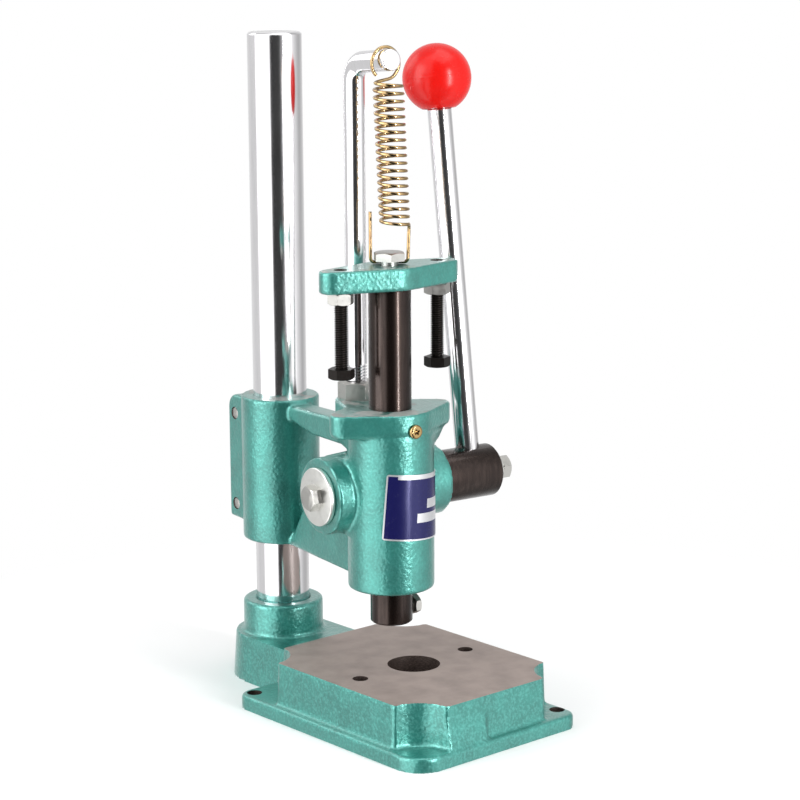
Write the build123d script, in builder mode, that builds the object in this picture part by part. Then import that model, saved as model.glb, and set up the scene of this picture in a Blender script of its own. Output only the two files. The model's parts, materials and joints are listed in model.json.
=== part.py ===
from build123d import *
import math
import os

# Manual desk press, millimetres, +Z up. The origin is the table bore's axis at floor level,
# +X is the lever side, -Y is the side where the operator sits and +Y is the column side.

# Fits and gaps
RUNNING_GAP = 0.05
END_FLOAT = 0.15
SEAT_GAP = 0.3

# Base casting
FLANGE_LEFT = 63.1
FLANGE_RIGHT = 60.8
FLANGE_FRONT = 74.3
FLANGE_BACK = 87.0
FLANGE_THICKNESS = 8.5
FLANGE_CORNER_R = 9.0
FLANGE_WIDE_CORNER_R = 17.0
FLANGE_HOLE_R = 4.5
FLANGE_HOLE_X = 55.0
FLANGE_HOLE_FRONT = 61.7
FLANGE_HOLE_BACK = 79.2
TABLE_HALF_WIDTH = 57.7
TABLE_FRONT = 69.0
TABLE_BACK = 74.0
TABLE_HEIGHT = 33.2
TABLE_DRAFT = 2.0
TABLE_CORNER_COVE_R = 20.0
TABLE_SWELL_END = 8.8
TABLE_SWELL_TOP = 26.0
TABLE_SWELL_RIM = 0.7
TABLE_BORE_R = 15.2
TAPPED_HOLE_R = 4.5
TAPPED_HOLE_X = 40.4
TAPPED_HOLE_DEPTH = 22.0

# Column and its socket in the base
COLUMN_R = 16.0
COLUMN_BACK = 120.0
COLUMN_TOP = 389.5
COLUMN_EDGE = 1.2
SOCKET_FLOOR = 5.0
SOCKET_FOOT_R = 31.0
SOCKET_SHOULDER_R = 29.0
SOCKET_SHOULDER_HEIGHT = 28.0
SOCKET_COLLAR_R = 24.2
SOCKET_COLLAR_TOP = 48.0
SOCKET_NECK_FILLET = 6.0
SOCKET_RIM_RECESS = 1.6
SET_SCREW_R = 3.6
SET_SCREW_LENGTH = 12.0
SET_SCREW_HEIGHT = 20.0
SET_SCREW_SOCKET = 4.0

# Head, built at the swing that the photograph shows
THROAT = 120.0
HEAD_SWING = -7.55
RAM_R = 12.0
BODY_R = 24.6
BODY_BOTTOM = 83.0
HEAD_TOP = 186.0
WING_CENTRE = 31.0
WING_END_R = 8.0
WING_DEPTH = 13.5
WING_SLOPE = 7.0
NUT_PAD_R = 12.5
NUT_PAD_DEPTH = 26.0
BARREL_R = 23.5
BARREL_BOTTOM = 86.0
BARREL_TOP = 174.0
WEB_HALF_WIDTH = 8.0
UPPER_WEB_TOP = 173.0
UPPER_WEB_DROP = 2.5
UPPER_WEB_UNDERSIDE = 158.0
UPPER_WEB_THIN = 8.0
LOWER_WEB_BOTTOM = 83.5
LOWER_WEB_CREST = 148.0
LOWER_WEB_CREST_BACK = 60.0
LOWER_WEB_TOE = 92.0
LOWER_WEB_RISE_BACK = 38.0
LOWER_WEB_RISE = 155.0
WEB_EDGE = 2.5
EAR_HALF_WIDTH = 16.5
EAR_REACH = 34.8
EAR_BOTTOM = 94.0
EAR_TOP = 171.0
EAR_CORNER_R = 8.0
CLAMP_SLOT = 3.0
CLAMP_HOLE_REACH = 26.6
CLAMP_HOLE_LOW = 103.2
CLAMP_HOLE_HIGH = 159.6
CLAMP_BOLT_RECESS = 1.5
CAST_EDGE = 2.0
CAST_FILLET = 4.0
MACHINED_EDGE = 0.8

# Pinion shaft and lever
SHAFT_BACK = 19.0
SHAFT_HEIGHT = 136.0
SHAFT_R = 13.0
LEFT_BOSS_R = 22.0
LEFT_BOSS_FACE = 35.0
RIGHT_BOSS_R = 20.5
RIGHT_BOSS_FACE = 42.3
PITCH_R = 10.0
TEETH = 10
PINION_TIP_R = 12.3
PINION_ROOT_R = 8.35
PROFILE_SHIFT = 0.85
PRESSURE_ANGLE = 20.0
BACKLASH = 0.2
RACK_TIP_GAP = 0.5
RACK_ROOT_GAP = 0.4
TOOTH_ZONE_GAP = 1.2
FLANK_STEPS = 5
SPIGOT_R = 9.0
HUB_R = 15.35
HUB_LENGTH = 40.0
HUB_EDGE = 1.5
KEY_WIDTH = 5.0
KEY_LENGTH = 20.0
KEY_START = 2.0
SHAFT_BOLT_LENGTH = 22.0
SHAFT_THREAD_DEPTH = 24.0
SHAFT_WASHER_R = 16.6
SHAFT_WASHER_THICKNESS = 3.0
HUB_WASHER_R = 8.5
HUB_WASHER_THICKNESS = 3.4
LOCK_WASHER_R = 6.8
LOCK_WASHER_THICKNESS = 2.4
LOCK_WASHER_SPLIT = 1.2
LEVER_X = 67.5
LEVER_LEAN = 8.0
LEVER_ROD_R = 7.0
LEVER_TO_BALL = 229.8
BALL_R = 20.0
BALL_FLAT = 17.6
BALL_THREAD_R = 5.0
BALL_THREAD_DEPTH = 16.0

# Ram, crossbar and stops
RAM_TIP = 62.2
RAM_EDGE = 1.0
STROKE = 20.0
STOP_SPARE = 0.2
TOOL_BORE_R = 5.0
TOOL_BORE_DEPTH = 26.0
TOOL_SCREW_HEIGHT = 69.5
TOOL_SCREW_R = 2.7
TOOL_SCREW_FLATS = 10.0
TOOL_SCREW_HEAD = 4.0
TOOL_SCREW_NECK = 1.6
BAR_BOTTOM = 254.2
BAR_THICKNESS = 12.5
BAR_CENTRE_R = 17.5
BAR_END_R = 7.5
BAR_END_X = 37.2
BAR_HOLE_X = 32.0
BAR_EDGE = 1.0
BAR_BOLT_R = 4.8
BAR_BOLT_DEPTH = 26.0
BAR_BOLT_FLATS = 16.0
BAR_BOLT_HEAD = 4.8
BAR_BOLT_TURN = 3.7
M8_R = 3.8
M8_FLATS = 13.0
M8_HEAD = 5.7
M8_NUT = 6.5
STOP_BOLT_LENGTH = 50.0

# Hook rod and return spring
HOOK_ROD_BACK = 34.4
HOOK_ROD_R = 6.0
HOOK_ROD_SEAT = 24.0
HOOK_BEND_R = 11.0
HOOK_END_FRONT = 4.0
HOOK_END_HEIGHT = 379.3
HOOK_RISE = 5.0
HOOK_NUT_FLATS = 19.0
HOOK_NUT_HEIGHT = 10.0
HOOK_NUT_TURN = 22.0
WIRE_R = 0.95
WIRE_GAP = 0.15
WIRE_HEADROOM = 0.45
COIL_R = 7.8
COIL_WHOLE_TURNS = 18
COIL_DROP = 10.5
LEG_LENGTH = 22.6
TAIL_LENGTH = 29.3
SPRING_SIDE_ANGLE = -33.7
SPRING_LEAN = 3.2
LOOP_R = 8.8
LOOP_BACK = 2.5
LOOP_OPEN_ANGLE = 225.0
LOOP_LEAVE_ANGLE = -80.0
LEG_REACH = 10.4
LEG_BEND_R = 2.6
WIRE_PASS_R = 6.6

# Small pieces on the head
OIL_SCREW_HEIGHT = 176.7
OIL_SCREW_R = 2.0
OIL_SCREW_HEAD_R = 4.0
OIL_SCREW_HEAD = 2.4
OIL_SCREW_EDGE = 1.4
OIL_SCREW_LENGTH = 9.0
PLATE_THICKNESS = 0.5
PLATE_WIDTH = 50.0
PLATE_HEIGHT = 37.5
PLATE_BOTTOM = 114.0
PLATE_LEFT_ANGLE = 42.0

# Worked-out values
SWING = math.radians(HEAD_SWING)
RAM_AXIS_X = THROAT * math.sin(SWING)
RAM_AXIS_Y = COLUMN_BACK - THROAT * math.cos(SWING)
HEAD = Plane(
    origin=(RAM_AXIS_X, RAM_AXIS_Y, 0),
    x_dir=(math.cos(SWING), math.sin(SWING), 0),
    z_dir=(0, 0, 1),
)
WASHER_SEAT = -(LEFT_BOSS_FACE + END_FLOAT)
HUB_SEAT = RIGHT_BOSS_FACE + END_FLOAT
HUB_END = HUB_SEAT + HUB_LENGTH
RAM_TOP = BAR_BOTTOM
BAR_TOP = BAR_BOTTOM + BAR_THICKNESS
STOP_HEAD_BOTTOM = HEAD_TOP + STROKE + STOP_SPARE
TOOTH_PITCH = 2 * math.pi * PITCH_R / TEETH
ROLL_LINE = SHAFT_BACK - PITCH_R
TOOTH_ZONE = RAM_R + TOOTH_ZONE_GAP
WIRE_SEAT = BAR_TOP + WIRE_GAP + WIRE_R
BOLT_HEAD_SEAT = WIRE_SEAT + WIRE_R + WIRE_HEADROOM
FLANK_SLOPE = math.tan(math.radians(PRESSURE_ANGLE))
BASE_R = PITCH_R * math.cos(math.radians(PRESSURE_ANGLE))
RACK_TIP = SHAFT_BACK - PINION_ROOT_R - RACK_TIP_GAP
RACK_ROOT = SHAFT_BACK - PINION_TIP_R - RACK_ROOT_GAP
RACK_HALF_TOOTH = (TOOTH_PITCH / 2 - 2 * PROFILE_SHIFT * FLANK_SLOPE - BACKLASH) / 2
RACK_SPACE_AT_ROOT = TOOTH_PITCH / 2 - RACK_HALF_TOOTH - (ROLL_LINE - RACK_ROOT) * FLANK_SLOPE
RACK_SPACE_AT_TIP = TOOTH_PITCH / 2 - RACK_HALF_TOOTH + (RACK_TIP - ROLL_LINE) * FLANK_SLOPE
LEVER_WAY = HEAD.y_dir * math.sin(math.radians(LEVER_LEAN)) + Vector(
    0, 0, math.cos(math.radians(LEVER_LEAN))
)
LEVER_FOOT = HEAD.from_local_coords(Vector(LEVER_X, SHAFT_BACK, SHAFT_HEIGHT))
LEVER_AXIS = Plane(LEVER_FOOT, x_dir=HEAD.x_dir, z_dir=LEVER_WAY)
LEVER_LINE = Axis(LEVER_FOOT, LEVER_WAY)
BALL_SECTION = Plane(
    LEVER_FOOT + LEVER_WAY * LEVER_TO_BALL, x_dir=HEAD.x_dir, z_dir=HEAD.x_dir.cross(LEVER_WAY)
)
COIL_TURNS = COIL_WHOLE_TURNS + (180 + SPRING_SIDE_ANGLE) / 360
LOOP_HEIGHT = (
    HOOK_END_HEIGHT
    - (LOOP_BACK + HOOK_END_FRONT) * math.tan(math.radians(HOOK_RISE))
    + HOOK_ROD_R
    + SEAT_GAP
    + WIRE_R
    - LOOP_R
)
COIL_TOP = LOOP_HEIGHT - COIL_DROP
COIL_PITCH = (COIL_TOP - BAR_TOP - LEG_LENGTH) / COIL_TURNS
NECK_DRAFT = math.degrees(math.atan((SOCKET_FOOT_R - SOCKET_SHOULDER_R) / SOCKET_SHOULDER_HEIGHT))


def head_point(x, y, z):
    """A point given across, behind and above the ram's foot, in the whole part's frame."""
    return HEAD.from_local_coords(Vector(x, y, z))


def level(z, x=0, y=0):
    """A level plane in the head, seen from above."""
    return Plane(origin=head_point(x, y, z), x_dir=HEAD.x_dir, z_dir=(0, 0, 1))


def side(x, y=0, z=0):
    """An upright plane that looks along the pinion shaft: its x runs back and its y runs up."""
    return Plane(origin=head_point(x, y, z), x_dir=HEAD.y_dir, z_dir=HEAD.x_dir)


def front(y, x=0, z=0):
    """An upright plane that faces the operator: its x runs right and its y runs up."""
    return Plane(origin=head_point(x, y, z), x_dir=HEAD.x_dir, z_dir=-HEAD.y_dir)


def disc(plane, radius, length, mode=Mode.ADD):
    """A round bar that grows from the plane along its normal."""
    with BuildSketch(plane) as outline:
        Circle(radius)
    extrude(outline.sketch, amount=length, mode=mode)


def soft_bar(plane, radius, length, foot_edge=0, end_edge=0):
    """A round cast bar that grows from the plane along its normal, with rounded rims."""
    with BuildSketch(plane) as outline:
        Circle(radius)
    bar = extrude(outline.sketch, amount=length, mode=Mode.PRIVATE)
    along = Axis(plane.origin, plane.z_dir)
    for place, edge in ((0, foot_edge), (-1, end_edge)):
        if edge:
            bar = bar.fillet(edge, bar.faces().sort_by(along)[place].edges())
    add(bar)


def hexagon(plane, across_flats, length, mode=Mode.ADD):
    """A six-sided bar that grows from the plane along its normal."""
    with BuildSketch(plane) as outline:
        RegularPolygon(across_flats / 2, 6, major_radius=False)
    extrude(outline.sketch, amount=length, mode=mode)


def ring(plane, outer, inner, length):
    """A washer or nut blank with its hole."""
    with BuildSketch(plane) as outline:
        Circle(outer)
        Circle(inner, mode=Mode.SUBTRACT)
    extrude(outline.sketch, amount=length)


def involute(angle):
    return math.tan(angle) - angle


def tooth_half_angle(radius):
    """Half the angle that a pinion tooth fills at a radius, in radians."""
    at_pitch = (TOOTH_PITCH / 2 + 2 * PROFILE_SHIFT * FLANK_SLOPE - BACKLASH) / (2 * PITCH_R)
    if radius <= BASE_R:
        return at_pitch + involute(math.radians(PRESSURE_ANGLE))
    local = math.acos(BASE_R / radius)
    return at_pitch + involute(math.radians(PRESSURE_ANGLE)) - involute(local)


def biarc(start, start_way, finish, finish_way):
    """Two arcs, tangent to each other and to the ways given at both ends."""
    across = finish - start
    ways = start_way + finish_way
    spread = 2 * (1 - start_way.dot(finish_way))
    lean = across.dot(ways)
    if spread < 1e-6:
        reach = across.dot(across) / (4 * across.dot(finish_way))
    else:
        reach = (math.sqrt(lean * lean + spread * across.dot(across)) - lean) / spread
    knee = start + start_way * reach
    other_knee = finish - finish_way * reach
    middle = (knee + other_knee) * 0.5
    for arc_start, arc_end, way in (
        (start, middle, start_way),
        (middle, finish, (other_knee - knee).normalized()),
    ):
        chord = arc_end - arc_start
        if chord.cross(way).length < 1e-6 * chord.length:
            Line(arc_start, arc_end)
        else:
            TangentArc(arc_start, arc_end, tangent=way)


def loop_point(angle):
    """A point of the spring's open loop, which hangs on the hook rod."""
    turn = math.radians(angle)
    return head_point(
        LOOP_R * math.cos(turn), LOOP_BACK, LOOP_HEIGHT + LOOP_R * math.sin(turn)
    )


def view_side_point(out, back, z):
    """A point beside the spring, measured along the side where its leg hangs."""
    turn = math.radians(SPRING_SIDE_ANGLE)
    x = out * math.cos(turn) - back * math.sin(turn)
    y = out * math.sin(turn) + back * math.cos(turn)
    return head_point(x, y, z)


def coil_point(turns):
    """A point of the coil, counted in turns from its top at the left."""
    angle = math.radians(180 + 360 * turns)
    lean = SPRING_LEAN * turns / COIL_TURNS
    shift = view_side_point(lean, 0, 0) - view_side_point(0, 0, 0)
    return head_point(COIL_R * math.cos(angle), COIL_R * math.sin(angle), 0) + shift + Vector(
        0, 0, COIL_TOP - COIL_PITCH * turns
    )


def coil_way(turns):
    return (coil_point(turns + 0.001) - coil_point(turns - 0.001)).normalized()


def least_gap(wire_path, wire_r, turn_length):
    """The least gap between stretches of one bent wire, measured on points along it."""
    count = 2400
    points = [wire_path @ (i / count) for i in range(count + 1)]
    apart = int(count * turn_length / wire_path.length)
    least = min(
        (points[i] - points[j]).length
        for i in range(0, count + 1, 3)
        for j in range(i + apart // 2, min(count + 1, i + 3 * apart), 2)
    )
    return least - 2 * wire_r


# Base: flange, table block with its coved corners, and the column socket behind it
with BuildPart() as base_casting:
    with BuildSketch() as flange_outline:
        with Locations(((FLANGE_RIGHT - FLANGE_LEFT) / 2, (FLANGE_BACK - FLANGE_FRONT) / 2)):
            Rectangle(FLANGE_LEFT + FLANGE_RIGHT, FLANGE_BACK + FLANGE_FRONT)
        wide_corner = flange_outline.vertices().group_by(Axis.Y)[0].sort_by(Axis.X)[0]
        fillet(wide_corner, FLANGE_WIDE_CORNER_R)
        other_corners = flange_outline.vertices().group_by(Axis.Y)[-1]
        other_corners += flange_outline.vertices().group_by(Axis.Y)[0].sort_by(Axis.X)[-1:]
        fillet(other_corners, FLANGE_CORNER_R)
    extrude(amount=FLANGE_THICKNESS)
    fillet(base_casting.faces().sort_by(Axis.Z)[-1].edges(), CAST_EDGE)
    with BuildSketch(Plane.XY.offset(TABLE_HEIGHT)) as table_outline:
        with Locations((0, (TABLE_BACK - TABLE_FRONT) / 2)):
            Rectangle(2 * TABLE_HALF_WIDTH, TABLE_BACK + TABLE_FRONT)
        with Locations(
            (-TABLE_HALF_WIDTH, -TABLE_FRONT),
            (TABLE_HALF_WIDTH, -TABLE_FRONT),
            (-TABLE_HALF_WIDTH, TABLE_BACK),
            (TABLE_HALF_WIDTH, TABLE_BACK),
        ):
            Circle(TABLE_CORNER_COVE_R, mode=Mode.SUBTRACT)
        fillet(table_outline.vertices(), CAST_EDGE)
    extrude(table_outline.sketch, amount=-TABLE_HEIGHT, taper=-TABLE_DRAFT)
    with BuildSketch(Plane.YZ.offset(TABLE_CORNER_COVE_R - TABLE_HALF_WIDTH)) as front_swell:
        with BuildLine():
            Polyline(
                (-TABLE_FRONT, 0),
                (TABLE_SWELL_RIM - FLANGE_FRONT, 0),
                (TABLE_SWELL_RIM - FLANGE_FRONT, FLANGE_THICKNESS / 2),
                (-TABLE_FRONT, TABLE_SWELL_TOP),
                close=True,
            )
        make_face()
    extrude(
        front_swell.sketch, amount=TABLE_HALF_WIDTH - TABLE_CORNER_COVE_R - TABLE_SWELL_END
    )
    with BuildSketch() as neck_outline:
        with Locations((0, COLUMN_BACK / 2)):
            Rectangle(2 * SOCKET_FOOT_R, COLUMN_BACK)
        with Locations((0, TABLE_BACK / 2)):
            Rectangle(2 * (SOCKET_FOOT_R + SOCKET_NECK_FILLET), TABLE_BACK)
        neck_corners = neck_outline.vertices().filter_by(
            lambda v: abs(v.Y - TABLE_BACK) < 0.1 and abs(v.X) < SOCKET_FOOT_R + 0.1
        )
        fillet(neck_corners, SOCKET_NECK_FILLET - 0.1)
    extrude(neck_outline.sketch, amount=SOCKET_SHOULDER_HEIGHT, taper=NECK_DRAFT)
    with BuildSketch() as socket_foot:
        with Locations((0, COLUMN_BACK)):
            Circle(SOCKET_FOOT_R)
    with BuildSketch(Plane.XY.offset(SOCKET_SHOULDER_HEIGHT)) as socket_shoulder:
        with Locations((0, COLUMN_BACK)):
            Circle(SOCKET_SHOULDER_R)
    loft([socket_foot.sketch, socket_shoulder.sketch])
    socket_axis = Plane((0, COLUMN_BACK, 0))
    disc(socket_axis, SOCKET_COLLAR_R, SOCKET_COLLAR_TOP)
    collar_root = base_casting.edges().filter_by(GeomType.CIRCLE).filter_by(
        lambda e: abs(e.radius - SOCKET_COLLAR_R) < 0.01
    )
    fillet(collar_root, CAST_EDGE)
    disc(
        socket_axis.offset(SOCKET_FLOOR),
        COLUMN_R + RUNNING_GAP,
        SOCKET_COLLAR_TOP,
        mode=Mode.SUBTRACT,
    )
    disc(
        socket_axis.offset(SOCKET_COLLAR_TOP - SOCKET_RIM_RECESS),
        COLUMN_R + SOCKET_RIM_RECESS,
        SOCKET_RIM_RECESS,
        mode=Mode.SUBTRACT,
    )
    disc(
        Plane((0, COLUMN_BACK, SET_SCREW_HEIGHT), x_dir=(1, 0, 0), z_dir=(0, 1, 0)),
        SET_SCREW_R,
        2 * SOCKET_FOOT_R,
        mode=Mode.SUBTRACT,
    )
    disc(Plane.XY, TABLE_BORE_R, TABLE_HEIGHT, mode=Mode.SUBTRACT)
    for tapped_x in (-TAPPED_HOLE_X, TAPPED_HOLE_X):
        disc(
            Plane((tapped_x, 0, TABLE_HEIGHT - TAPPED_HOLE_DEPTH)),
            TAPPED_HOLE_R,
            TAPPED_HOLE_DEPTH,
            mode=Mode.SUBTRACT,
        )
    for hole_x, hole_y in (
        (-FLANGE_HOLE_X, FLANGE_HOLE_BACK),
        (FLANGE_HOLE_X, -FLANGE_HOLE_FRONT),
    ):
        disc(Plane((hole_x, hole_y, 0)), FLANGE_HOLE_R, TABLE_HEIGHT, mode=Mode.SUBTRACT)
base_casting.part.label = "base_casting"

# Column: a plated bar that stands in the socket
with BuildPart() as column:
    disc(
        socket_axis.offset(SOCKET_FLOOR + RUNNING_GAP),
        COLUMN_R,
        COLUMN_TOP - SOCKET_FLOOR - RUNNING_GAP,
    )
    chamfer(column.faces().sort_by(Axis.Z)[-1].edges(), COLUMN_EDGE)
column.part.label = "column"

# Set screw that holds the column, driven in from behind the socket
with BuildPart() as column_set_screw:
    screw_tip = Plane(
        (0, COLUMN_BACK + COLUMN_R + SEAT_GAP, SET_SCREW_HEIGHT), x_dir=(1, 0, 0), z_dir=(0, 1, 0)
    )
    disc(screw_tip, SET_SCREW_R, SET_SCREW_LENGTH)
    hexagon(
        screw_tip.offset(SET_SCREW_LENGTH - SET_SCREW_SOCKET),
        SET_SCREW_SOCKET,
        SET_SCREW_SOCKET,
        mode=Mode.SUBTRACT,
    )
column_set_screw.part.label = "column_set_screw"

# Head: ram body with wings, pinion bosses, split clamp barrel and the two webs between them
with BuildPart() as head_casting:
    with BuildSketch(side(-WEB_HALF_WIDTH)) as web_outline:
        with BuildLine():
            Polyline(
                (0, UPPER_WEB_TOP),
                (HOOK_ROD_BACK, UPPER_WEB_TOP),
                (THROAT, UPPER_WEB_TOP - UPPER_WEB_DROP),
                (THROAT, UPPER_WEB_TOP - UPPER_WEB_DROP - UPPER_WEB_THIN),
                (THROAT - BARREL_R, UPPER_WEB_TOP - UPPER_WEB_DROP - UPPER_WEB_THIN),
                (THROAT - 2 * BARREL_R, UPPER_WEB_UNDERSIDE),
                (0, UPPER_WEB_UNDERSIDE),
                close=True,
            )
        make_face()
        with BuildLine():
            Polyline(
                (0, LOWER_WEB_BOTTOM),
                (BODY_R, LOWER_WEB_BOTTOM),
                (THROAT, BARREL_BOTTOM),
                (THROAT, LOWER_WEB_TOE),
                (THROAT - BARREL_R, LOWER_WEB_TOE),
                (LOWER_WEB_CREST_BACK, LOWER_WEB_CREST),
                (LOWER_WEB_RISE_BACK, LOWER_WEB_RISE),
                (0, LOWER_WEB_RISE),
                close=True,
            )
        make_face()
    extrude(web_outline.sketch, amount=2 * WEB_HALF_WIDTH)
    web_rims = head_casting.edges().filter_by(
        lambda e: abs(abs(HEAD.to_local_coords(e.center()).X) - WEB_HALF_WIDTH) < 0.1
    )
    fillet(web_rims, WEB_EDGE)
    with BuildSketch(level(HEAD_TOP - WING_DEPTH)) as wing_outline:
        Circle(BODY_R)
        with Locations((-WING_CENTRE, 0), (WING_CENTRE, 0)):
            Circle(WING_END_R)
        make_hull()
    wings = extrude(wing_outline.sketch, amount=WING_DEPTH, mode=Mode.PRIVATE)
    wings = wings.fillet(CAST_FILLET, wings.faces().sort_by(Axis.Z)[0].edges())
    add(wings.chamfer(MACHINED_EDGE, None, wings.faces().sort_by(Axis.Z)[-1].edges()))
    with BuildSketch(level(HEAD_TOP - WING_DEPTH - WING_SLOPE)) as wing_root:
        Circle(BODY_R)
        with Locations((WING_CENTRE - 2 * CAST_FILLET, 0)):
            Circle(WING_END_R)
        make_hull()
    with BuildSketch(level(HEAD_TOP - WING_DEPTH)) as wing_floor:
        Circle(BODY_R)
        with Locations((WING_CENTRE - CAST_FILLET, 0)):
            Circle(WING_END_R)
        make_hull()
    loft([wing_root.sketch, wing_floor.sketch], ruled=True)
    with BuildSketch(level(HEAD_TOP - NUT_PAD_DEPTH)) as nut_pad:
        Circle(BODY_R - MACHINED_EDGE)
        with Locations((0, HOOK_ROD_BACK)):
            Circle(NUT_PAD_R)
        make_hull()
    pad = extrude(nut_pad.sketch, amount=NUT_PAD_DEPTH, mode=Mode.PRIVATE)
    pad = pad.fillet(CAST_FILLET, pad.faces().sort_by(Axis.Z)[0].edges())
    add(pad.chamfer(MACHINED_EDGE, None, pad.faces().sort_by(Axis.Z)[-1].edges()))
    soft_bar(level(BODY_BOTTOM), BODY_R, HEAD_TOP - WING_DEPTH - BODY_BOTTOM, foot_edge=CAST_EDGE)
    shaft_middle = side(0, SHAFT_BACK, SHAFT_HEIGHT)
    soft_bar(-shaft_middle, LEFT_BOSS_R, LEFT_BOSS_FACE, end_edge=MACHINED_EDGE)
    soft_bar(shaft_middle, RIGHT_BOSS_R, RIGHT_BOSS_FACE, end_edge=MACHINED_EDGE)
    barrel_length = BARREL_TOP - BARREL_BOTTOM
    soft_bar(level(BARREL_BOTTOM, 0, THROAT), BARREL_R, barrel_length, CAST_EDGE, MACHINED_EDGE)
    with BuildSketch(level(SHAFT_HEIGHT - LEFT_BOSS_R)) as boss_cheek:
        with Locations((-BODY_R / 2, SHAFT_BACK / 2)):
            Rectangle(BODY_R, SHAFT_BACK)
    extrude(boss_cheek.sketch, amount=2 * LEFT_BOSS_R)
    with BuildSketch(side(-EAR_HALF_WIDTH)) as ear_outline:
        with Locations((THROAT + EAR_REACH / 2, (EAR_TOP + EAR_BOTTOM) / 2)):
            Rectangle(EAR_REACH, EAR_TOP - EAR_BOTTOM)
        fillet(ear_outline.vertices().sort_by(Axis(HEAD.origin, HEAD.y_dir))[-2:], EAR_CORNER_R)
    ears = extrude(ear_outline.sketch, amount=2 * EAR_HALF_WIDTH, mode=Mode.PRIVATE)
    ear_rims = ears.edges().filter_by(
        lambda e: abs(abs(HEAD.to_local_coords(e.center()).X) - EAR_HALF_WIDTH) < 0.1
    )
    add(ears.fillet(CAST_EDGE, ear_rims))
    upright = head_casting.edges().filter_by(Axis.Z)
    ear_roots = upright.filter_by(
        lambda e: HEAD.to_local_coords(e.center()).Y > THROAT
        and e.length > EAR_TOP - EAR_BOTTOM - 3 * CAST_FILLET
    )
    web_roots = upright.filter_by(
        lambda e: HEAD.to_local_coords(e.center()).Y > BODY_R * 0.9
        and HEAD.to_local_coords(e.center()).Y < BODY_R
        and abs(abs(HEAD.to_local_coords(e.center()).X) - WEB_HALF_WIDTH) < 0.1
        and e.center().Z < SHAFT_HEIGHT - RIGHT_BOSS_R
    )
    fillet(ear_roots + web_roots, CAST_FILLET)
    disc(level(BODY_BOTTOM - 1), RAM_R + RUNNING_GAP, HEAD_TOP, mode=Mode.SUBTRACT)
    disc(
        level(BARREL_BOTTOM - 1, 0, THROAT),
        COLUMN_R + RUNNING_GAP,
        BARREL_TOP,
        mode=Mode.SUBTRACT,
    )
    disc(
        side(-2 * LEFT_BOSS_FACE, SHAFT_BACK, SHAFT_HEIGHT),
        SHAFT_R + RUNNING_GAP,
        4 * LEFT_BOSS_FACE,
        mode=Mode.SUBTRACT,
    )
    with BuildSketch(level(BARREL_BOTTOM - 1)) as clamp_slot:
        with Locations((0, THROAT + EAR_REACH)):
            Rectangle(CLAMP_SLOT, 2 * EAR_REACH)
    extrude(clamp_slot.sketch, amount=BARREL_TOP, mode=Mode.SUBTRACT)
    for clamp_z in (CLAMP_HOLE_LOW, CLAMP_HOLE_HIGH):
        disc(
            side(-2 * EAR_HALF_WIDTH, THROAT + CLAMP_HOLE_REACH, clamp_z),
            M8_R,
            4 * EAR_HALF_WIDTH,
            mode=Mode.SUBTRACT,
        )
    disc(
        level(HEAD_TOP - HOOK_ROD_SEAT, 0, HOOK_ROD_BACK),
        HOOK_ROD_R,
        HOOK_ROD_SEAT,
        mode=Mode.SUBTRACT,
    )
    disc(front(0, 0, OIL_SCREW_HEIGHT), OIL_SCREW_R, 2 * BODY_R, mode=Mode.SUBTRACT)
head_casting.part.label = "head_casting"

# One pinion tooth, drawn along x, with a step of involute flank on each side
with BuildSketch(mode=Mode.PRIVATE) as tooth:
    with BuildLine():
        flank_height = PINION_TIP_R - BASE_R
        flank_radii = [BASE_R + flank_height * i / FLANK_STEPS for i in range(FLANK_STEPS + 1)]
        flank = [(PINION_ROOT_R / 2, tooth_half_angle(BASE_R))]
        flank += [(radius, tooth_half_angle(radius)) for radius in flank_radii]
        upper = [(r * math.cos(half), r * math.sin(half)) for r, half in flank]
        lower = [(x, -y) for x, y in reversed(upper)]
        Polyline(*upper, *lower, close=True)
    make_face()

# Ram: round bar with rack teeth cut in its back, a tool bore and a tapped top
with BuildPart() as ram:
    disc(level(RAM_TIP), RAM_R, RAM_TOP - RAM_TIP)
    chamfer(ram.faces().sort_by(Axis.Z)[0].edges(), RAM_EDGE)
    spaces_up = math.ceil((STROKE + PINION_TIP_R) / TOOTH_PITCH)
    spaces_down = math.ceil(PINION_TIP_R / TOOTH_PITCH)
    with BuildSketch(side(-TOOTH_ZONE, 0, SHAFT_HEIGHT)) as rack_gaps:
        for space in range(-spaces_down, spaces_up + 1):
            with BuildLine():
                Polyline(
                    (RACK_ROOT, space * TOOTH_PITCH - RACK_SPACE_AT_ROOT),
                    (RACK_TIP, space * TOOTH_PITCH - RACK_SPACE_AT_TIP),
                    (2 * RAM_R, space * TOOTH_PITCH - TOOTH_PITCH / 2),
                    (2 * RAM_R, space * TOOTH_PITCH + TOOTH_PITCH / 2),
                    (RACK_TIP, space * TOOTH_PITCH + RACK_SPACE_AT_TIP),
                    (RACK_ROOT, space * TOOTH_PITCH + RACK_SPACE_AT_ROOT),
                    close=True,
                )
            make_face()
        rack_middle = (spaces_up - spaces_down) * TOOTH_PITCH / 2
        rack_length = (spaces_up + spaces_down + 1) * TOOTH_PITCH
        with Locations(((RACK_TIP + 2 * RAM_R) / 2, rack_middle)):
            Rectangle(2 * RAM_R - RACK_TIP, rack_length)
    extrude(rack_gaps.sketch, amount=2 * TOOTH_ZONE, mode=Mode.SUBTRACT)
    disc(level(RAM_TIP), TOOL_BORE_R, TOOL_BORE_DEPTH, mode=Mode.SUBTRACT)
    disc(level(RAM_TOP - BAR_BOLT_DEPTH - 2), BAR_BOLT_R, BAR_BOLT_DEPTH + 2, mode=Mode.SUBTRACT)
    disc(side(0, 0, TOOL_SCREW_HEIGHT), TOOL_SCREW_R, 2 * RAM_R, mode=Mode.SUBTRACT)
ram.part.label = "ram"

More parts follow.
